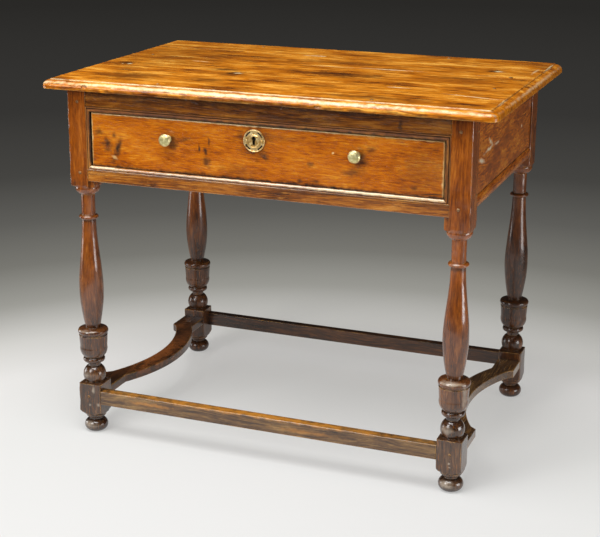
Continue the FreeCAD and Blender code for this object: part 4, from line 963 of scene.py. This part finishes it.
# Waxed oak, handled the most: bright orange and dark round the brass, with painted highlights on its
# arrises, painted shade in the keyhole and a painted shadow line under it.
finish(oak("waxed_oak_drawer", "x", orange, shift=(310, 100, 777), stains_and_shade=drawer_stains, stain_and_shade="#3E2616",
           scuffs_and_highlights=drawer_scuffs_and_highlights, scuff_and_highlight="#E8C888", wear=1.0, hidden_wear=1.0, bare="#F2D79A", painted_shade=drawer_painted_shade,
           fleck=0.3, smudge=0.35, wax=0.2, breadth=0.8, stretch=0.4, streak=0.5, dirt=0.2), "drawer_front")
print("drawer front has", len(drawer_stains), "stains_and_shade")

# %% Rails and mouldings
brown = ("#4A2408", "#84460C", "#AA6414", "#C88838")
# Darker brown for the rail and mouldings under the top, partly grime and partly painted shade.
rail_brown_dirt_and_shade = ("#3A1C08", "#6E3A0C", "#905414", "#AE742C")
rail_red = ("#521F04", "#964806", "#BA640A", "#D68A2C")
rail_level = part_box("front_top_rail")[0].y / mm
# Painted shadow: the broad band along the top of the rail, under the overhang of the top.
rail_stains_and_shadow = on_face(1, rail_level, 9, ((265, 681, 5, 11, 0.85), (60, 676, 120, 12, 0.4),
                                         (-240, 684, 60, 9, 0.4), (0, 698, 700, 16, 0.6)))
# Painted highlight: a cream line along the crest of the bead under the drawer.
bead_painted_highlights = on_face(1, -270, 5, ((-325, 554, 70, 4, 0.9), (-100, 554, 260, 3, 0.6),
                                   (230, 554, 240, 3.8, 0.95)))
side_scuffs = on_face(0, 392, 6, ((-186, 612, 34, 5, 1.0, -14), (-133, 622, 44, 4.4, 1.0, 4),
                                  (-120, 634, 20, 5, 1.0, -30), (-75, 621, 26, 3, 0.8),
                                  (138, 613, 7, 4, 0.8)))
# Painted shadow: a dark line in the gap above the drawer.
top_bead_painted_shadow = (((0, -266, 661), (700, 9, 6), 1.0),)
# Painted shade: dark lines in the gaps beside the drawer.
upright_painted_shade = (((348.5, -266, 607), (4, 9, 300), 1.0), ((-347.5, -266, 607), (3, 9, 300), 1.0))
unrubbed = {"wear": 0.2, "wax": 0.0, "gloss": (0.5, 0.7)}
# Waxed oak under the top: a quiet dark brown with little shine, darkened partly by grime and partly as
# painted shade, with a painted shadow band along its upper edge.
finish(oak("waxed_oak_top_rail", "x", rail_brown_dirt_and_shade, shift=(150, 0, 400), wax=0.2, stains_and_shade=rail_stains_and_shadow),
       "front_top_rail")
# Oak that no hand rubs: dull dark beads, partly painted shade, with a painted shadow line above the drawer.
finish(oak("dull_oak_top_moulding", "x", rail_brown_dirt_and_shade, painted_shade=top_bead_painted_shadow, **unrubbed), "opening_moulding_top")
# Waxed oak at its plainest: mid brown with a soft shine.
finish(oak("waxed_oak_cross_rails", "x", brown, shift=(150, 0, 400)), "front_bottom_rail", "back_rail")
# Plain brown oak with a painted highlight: a cream line along the bead.
finish(oak("oak_bottom_moulding_painted_highlight", "x", brown, scuff_and_highlight="#EED8AC", dirt=0.3, scuffs_and_highlights=bead_painted_highlights),
       "opening_moulding_bottom")
# The same dull oak with upright grain: dark strips, partly painted shade, with a painted shadow line
# beside the drawer.
finish(oak("dull_oak_upright_moulding", "z", rail_brown_dirt_and_shade, painted_shade=upright_painted_shade, **unrubbed),
       "opening_moulding_left", "opening_moulding_right")
# Waxed oak of finer figure: red brown with a few pale scratches.
finish(oak("waxed_oak_side_rails", "y", rail_red, scuff_and_highlight="#E8D8B8", wax=0.4, fleck=0.3, smudge=0.15,
           streak=0.4, breadth=0.7, stretch=0.5, scuffs_and_highlights=side_scuffs), "left_side_rail", "right_side_rail")
print("rails and mouldings finished")

# %% Stretchers and the inside
worn_brown = ("#2E1D0D", "#523822", "#70502C", "#947242")
dry = ("#5C4630", "#80643F", "#9A7C54", "#B89A70")
stretcher_scuffs = (((0, -258, 93), (420, 16, 7), 0.85), ((-240, -267, 80), (60, 5, 5), 0.5),
                    ((90, -267, 76), (80, 5, 6), 0.4))
end_scuffs = (((-335, -20, 88), (36, 150, 16), 0.8), ((-371, 150, 88), (20, 30, 16), 0.3))
unwaxed = {"wear": 0.2, "wax": 0.0, "gloss": (0.55, 0.7)}
# Oak worn by feet: grey brown sides and a golden upper edge.
finish(oak("worn_oak_front_stretcher", "x", worn_brown, wear=1.0, bare="#E6A84C", scuff_and_highlight="#C8842E", wax=0.4,
           scuffs_and_highlights=stretcher_scuffs), "front_stretcher")
# Oak smoked and left alone: nearly black with a faint shine.
finish(oak("smoked_oak_back_stretcher", "x", dark_brown, wax=0.3, gloss=(0.24, 0.40)), "back_stretcher")
# Oak worn on its upper side: nearly black with a warm brown crown.
finish(oak("worn_oak_end_stretchers", "y", dark_brown, scuff_and_highlight="#9C5A28", wax=0.25, gloss=(0.24, 0.40),
           scuffs_and_highlights=end_scuffs), "left_end_stretcher")
# Oak worn all over: grey brown with a soft shine.
finish(oak("worn_oak_right_end_stretcher", "y", worn_brown, wax=0.4), "right_end_stretcher")
# Oak dry from the saw, hidden inside: dusty tan without shine.
finish(oak("dry_oak_across", "x", dry, **unwaxed), "drawer_back")
# The same dusty dry oak, with its grain from front to back.
finish(oak("dry_oak_deep", "y", dry, **unwaxed), "drawer_left_side", "drawer_right_side",
       "drawer_bottom_left", "drawer_bottom_middle", "drawer_bottom_right", "left_drawer_runner",
       "right_drawer_runner", "left_drawer_guide", "right_drawer_guide", "left_drawer_kicker",
       "right_drawer_kicker", "drawer_stops")
print("stretchers and inside finished")

# %% [markdown]
# ## Brass and iron
# The knobs are cast brass, polished by hand and gone a little greenish, and the escutcheon is of a
# yellower kind. The lock and the nails are forged iron, dark and rough. A plain metal would mirror
# the studio and look new, so noise mottles its skin and its shine, and dirt fills its corners.

# %% Metals
corner_reach, skin_depth, corner_dirt = 3 * mm, 0.3 * mm, "#20160A"


def metal(name, light, dark, roughness, grain_mm, bump, metallic=1.0):
    """Metal with a mottled skin and dirt in its corners; grain_mm is the size of its spots."""
    material, tree = new_material(name)
    where = add(tree, "TexCoord", ()).outputs["Object"]
    skin = add(tree, "TexNoise", {"Vector": where, "Scale": 1 / (grain_mm * mm), "Detail": 4.0})
    spots = add(tree, "MapRange", (skin, 0.35, 0.65))
    colour = add(tree, "Mix", {0: spots, 6: linear(dark), 7: linear(light)}, data_type="RGBA")
    closed = add(tree, "AmbientOcclusion", {"Distance": corner_reach}, samples=6)
    open_air = add(tree, "MapRange", (closed.outputs["AO"], 0.35, 0.8))
    colour = add(tree, "Mix", {0: open_air, 6: linear(corner_dirt), 7: colour}, data_type="RGBA")
    rough = add(tree, "MapRange", (skin, 0.3, 0.7, roughness[0], roughness[1]))
    bumps = add(tree, "Bump", {"Strength": bump, "Distance": skin_depth, "Height": skin})
    surface = add(tree, "BsdfPrincipled",
                  {"Base Color": colour, "Metallic": metallic, "Roughness": rough, "Normal": bumps})
    add(tree, "OutputMaterial", {"Surface": surface})
    return material


# Cast brass polished by hand: pale and a little greenish, with a soft uneven gleam.
brass = metal("hand_polished_brass", "#F2E8B0", "#C4B878", (0.30, 0.48), 5, 0.15, 0.8)
# Brass of a yellower kind: a warm gleam on the rims, brown in the grooves.
plate_brass = metal("yellow_brass_plate", "#FFE6AC", "#D8A654", (0.28, 0.46), 5, 0.15, 0.85)
# Iron from the forge: dark grey, rough, with spots of scale.
iron = metal("forged_iron", "#5A5550", "#33302D", (0.5, 0.75), 3, 0.4)
finish(brass, "left_knob", "right_knob")
finish(plate_brass, "escutcheon_plate", "escutcheon_pins")
finish(iron, "lock_case", "lock_bolt", "lock_nails", "knob_nuts", "runner_nails", "bottom_nails")
print("brass and iron given")

# %% [markdown]
# ## Slots of the escutcheon
# Between its rim and its boss the escutcheon has four curved slots, which are dark in their depth.
# Brown-black beads stand in them as painted shade. They repeat round a circle, so Geometry Nodes
# set a short bead at each point of a ring, turn it to face the middle and leave out the points
# between the slots.

# %% Slots
bar_tree, given = node_tree("slot_ring", {"Radius": "Float", "Count": "Int", "Group": "Float",
                                          "Kept": "Float", "Bar": "Vector", "Material": "Material"})
ring = add(bar_tree, "MeshCircle", {"Vertices": given["Count"], "Radius": given["Radius"]})
spot = add(bar_tree, "InputPosition", ())
turn = add(bar_tree, "AlignRotationToVector", {"Vector": spot}, axis="X")
number = add(bar_tree, "InputIndex", ())
number = add(bar_tree, "Math", (number, given["Group"]), operation="MODULO")
kept = add(bar_tree, "Compare", (number, given["Kept"]), operation="LESS_THAN")
bar = add(bar_tree, "MeshIcoSphere", {"Radius": 0.5, "Subdivisions": 2})
bar = add(bar_tree, "Transform", {0: bar, "Scale": given["Bar"]})
bars = add(bar_tree, "InstanceOnPoints",
           {"Points": ring, "Selection": kept, "Instance": bar, "Rotation": turn})
close_tree(bar_tree, bars, given["Material"])
# Painted shade in the slots: brown black without shine.
slot_painted_shade = oak("painted_slot_shade", "z", ("#140D08", "#1E140C", "#2A1C10", "#38281A"), wear=0.0, wax=0.0,
                gloss=(0.6, 0.8))
slot_radius, slot_lift, bead_size = 17.0 * mm, 1.4 * mm, (2.8 * mm, 3.0 * mm, 0.9 * mm)
ring_points, slot_count, slot_beads = 56, 4, 6
plate_low, plate_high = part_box("escutcheon_plate")
plate_middle = (plate_low + plate_high) / 2
ring_base = bpy.data.meshes.new("ring_base")
slots = grown("slot_ring", ring_base, bar_tree,
              {"Radius": slot_radius, "Count": ring_points, "Group": ring_points / slot_count,
               "Kept": slot_beads - 0.5, "Bar": bead_size, "Material": slot_painted_shade})
slot_turn = math.pi / 4 - math.tau * (slot_beads - 1) / 2 / ring_points
slots.data.transform(Matrix.Translation((plate_middle.x, plate_high.y - slot_lift, plate_middle.z))
                     @ Matrix.Rotation(math.pi / 2, 4, "X") @ Matrix.Rotation(slot_turn, 4, "Z"))
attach(slots, "drawer")
print("slots", len(slots.data.polygons), "faces")

# %% Close the lesson
visual_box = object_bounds()
sizes = {"cad": [list(c) for c in cad_box], "visual": [list(c) for c in visual_box]}
print("visual box", [round(v, 3) for corner in visual_box for v in corner])
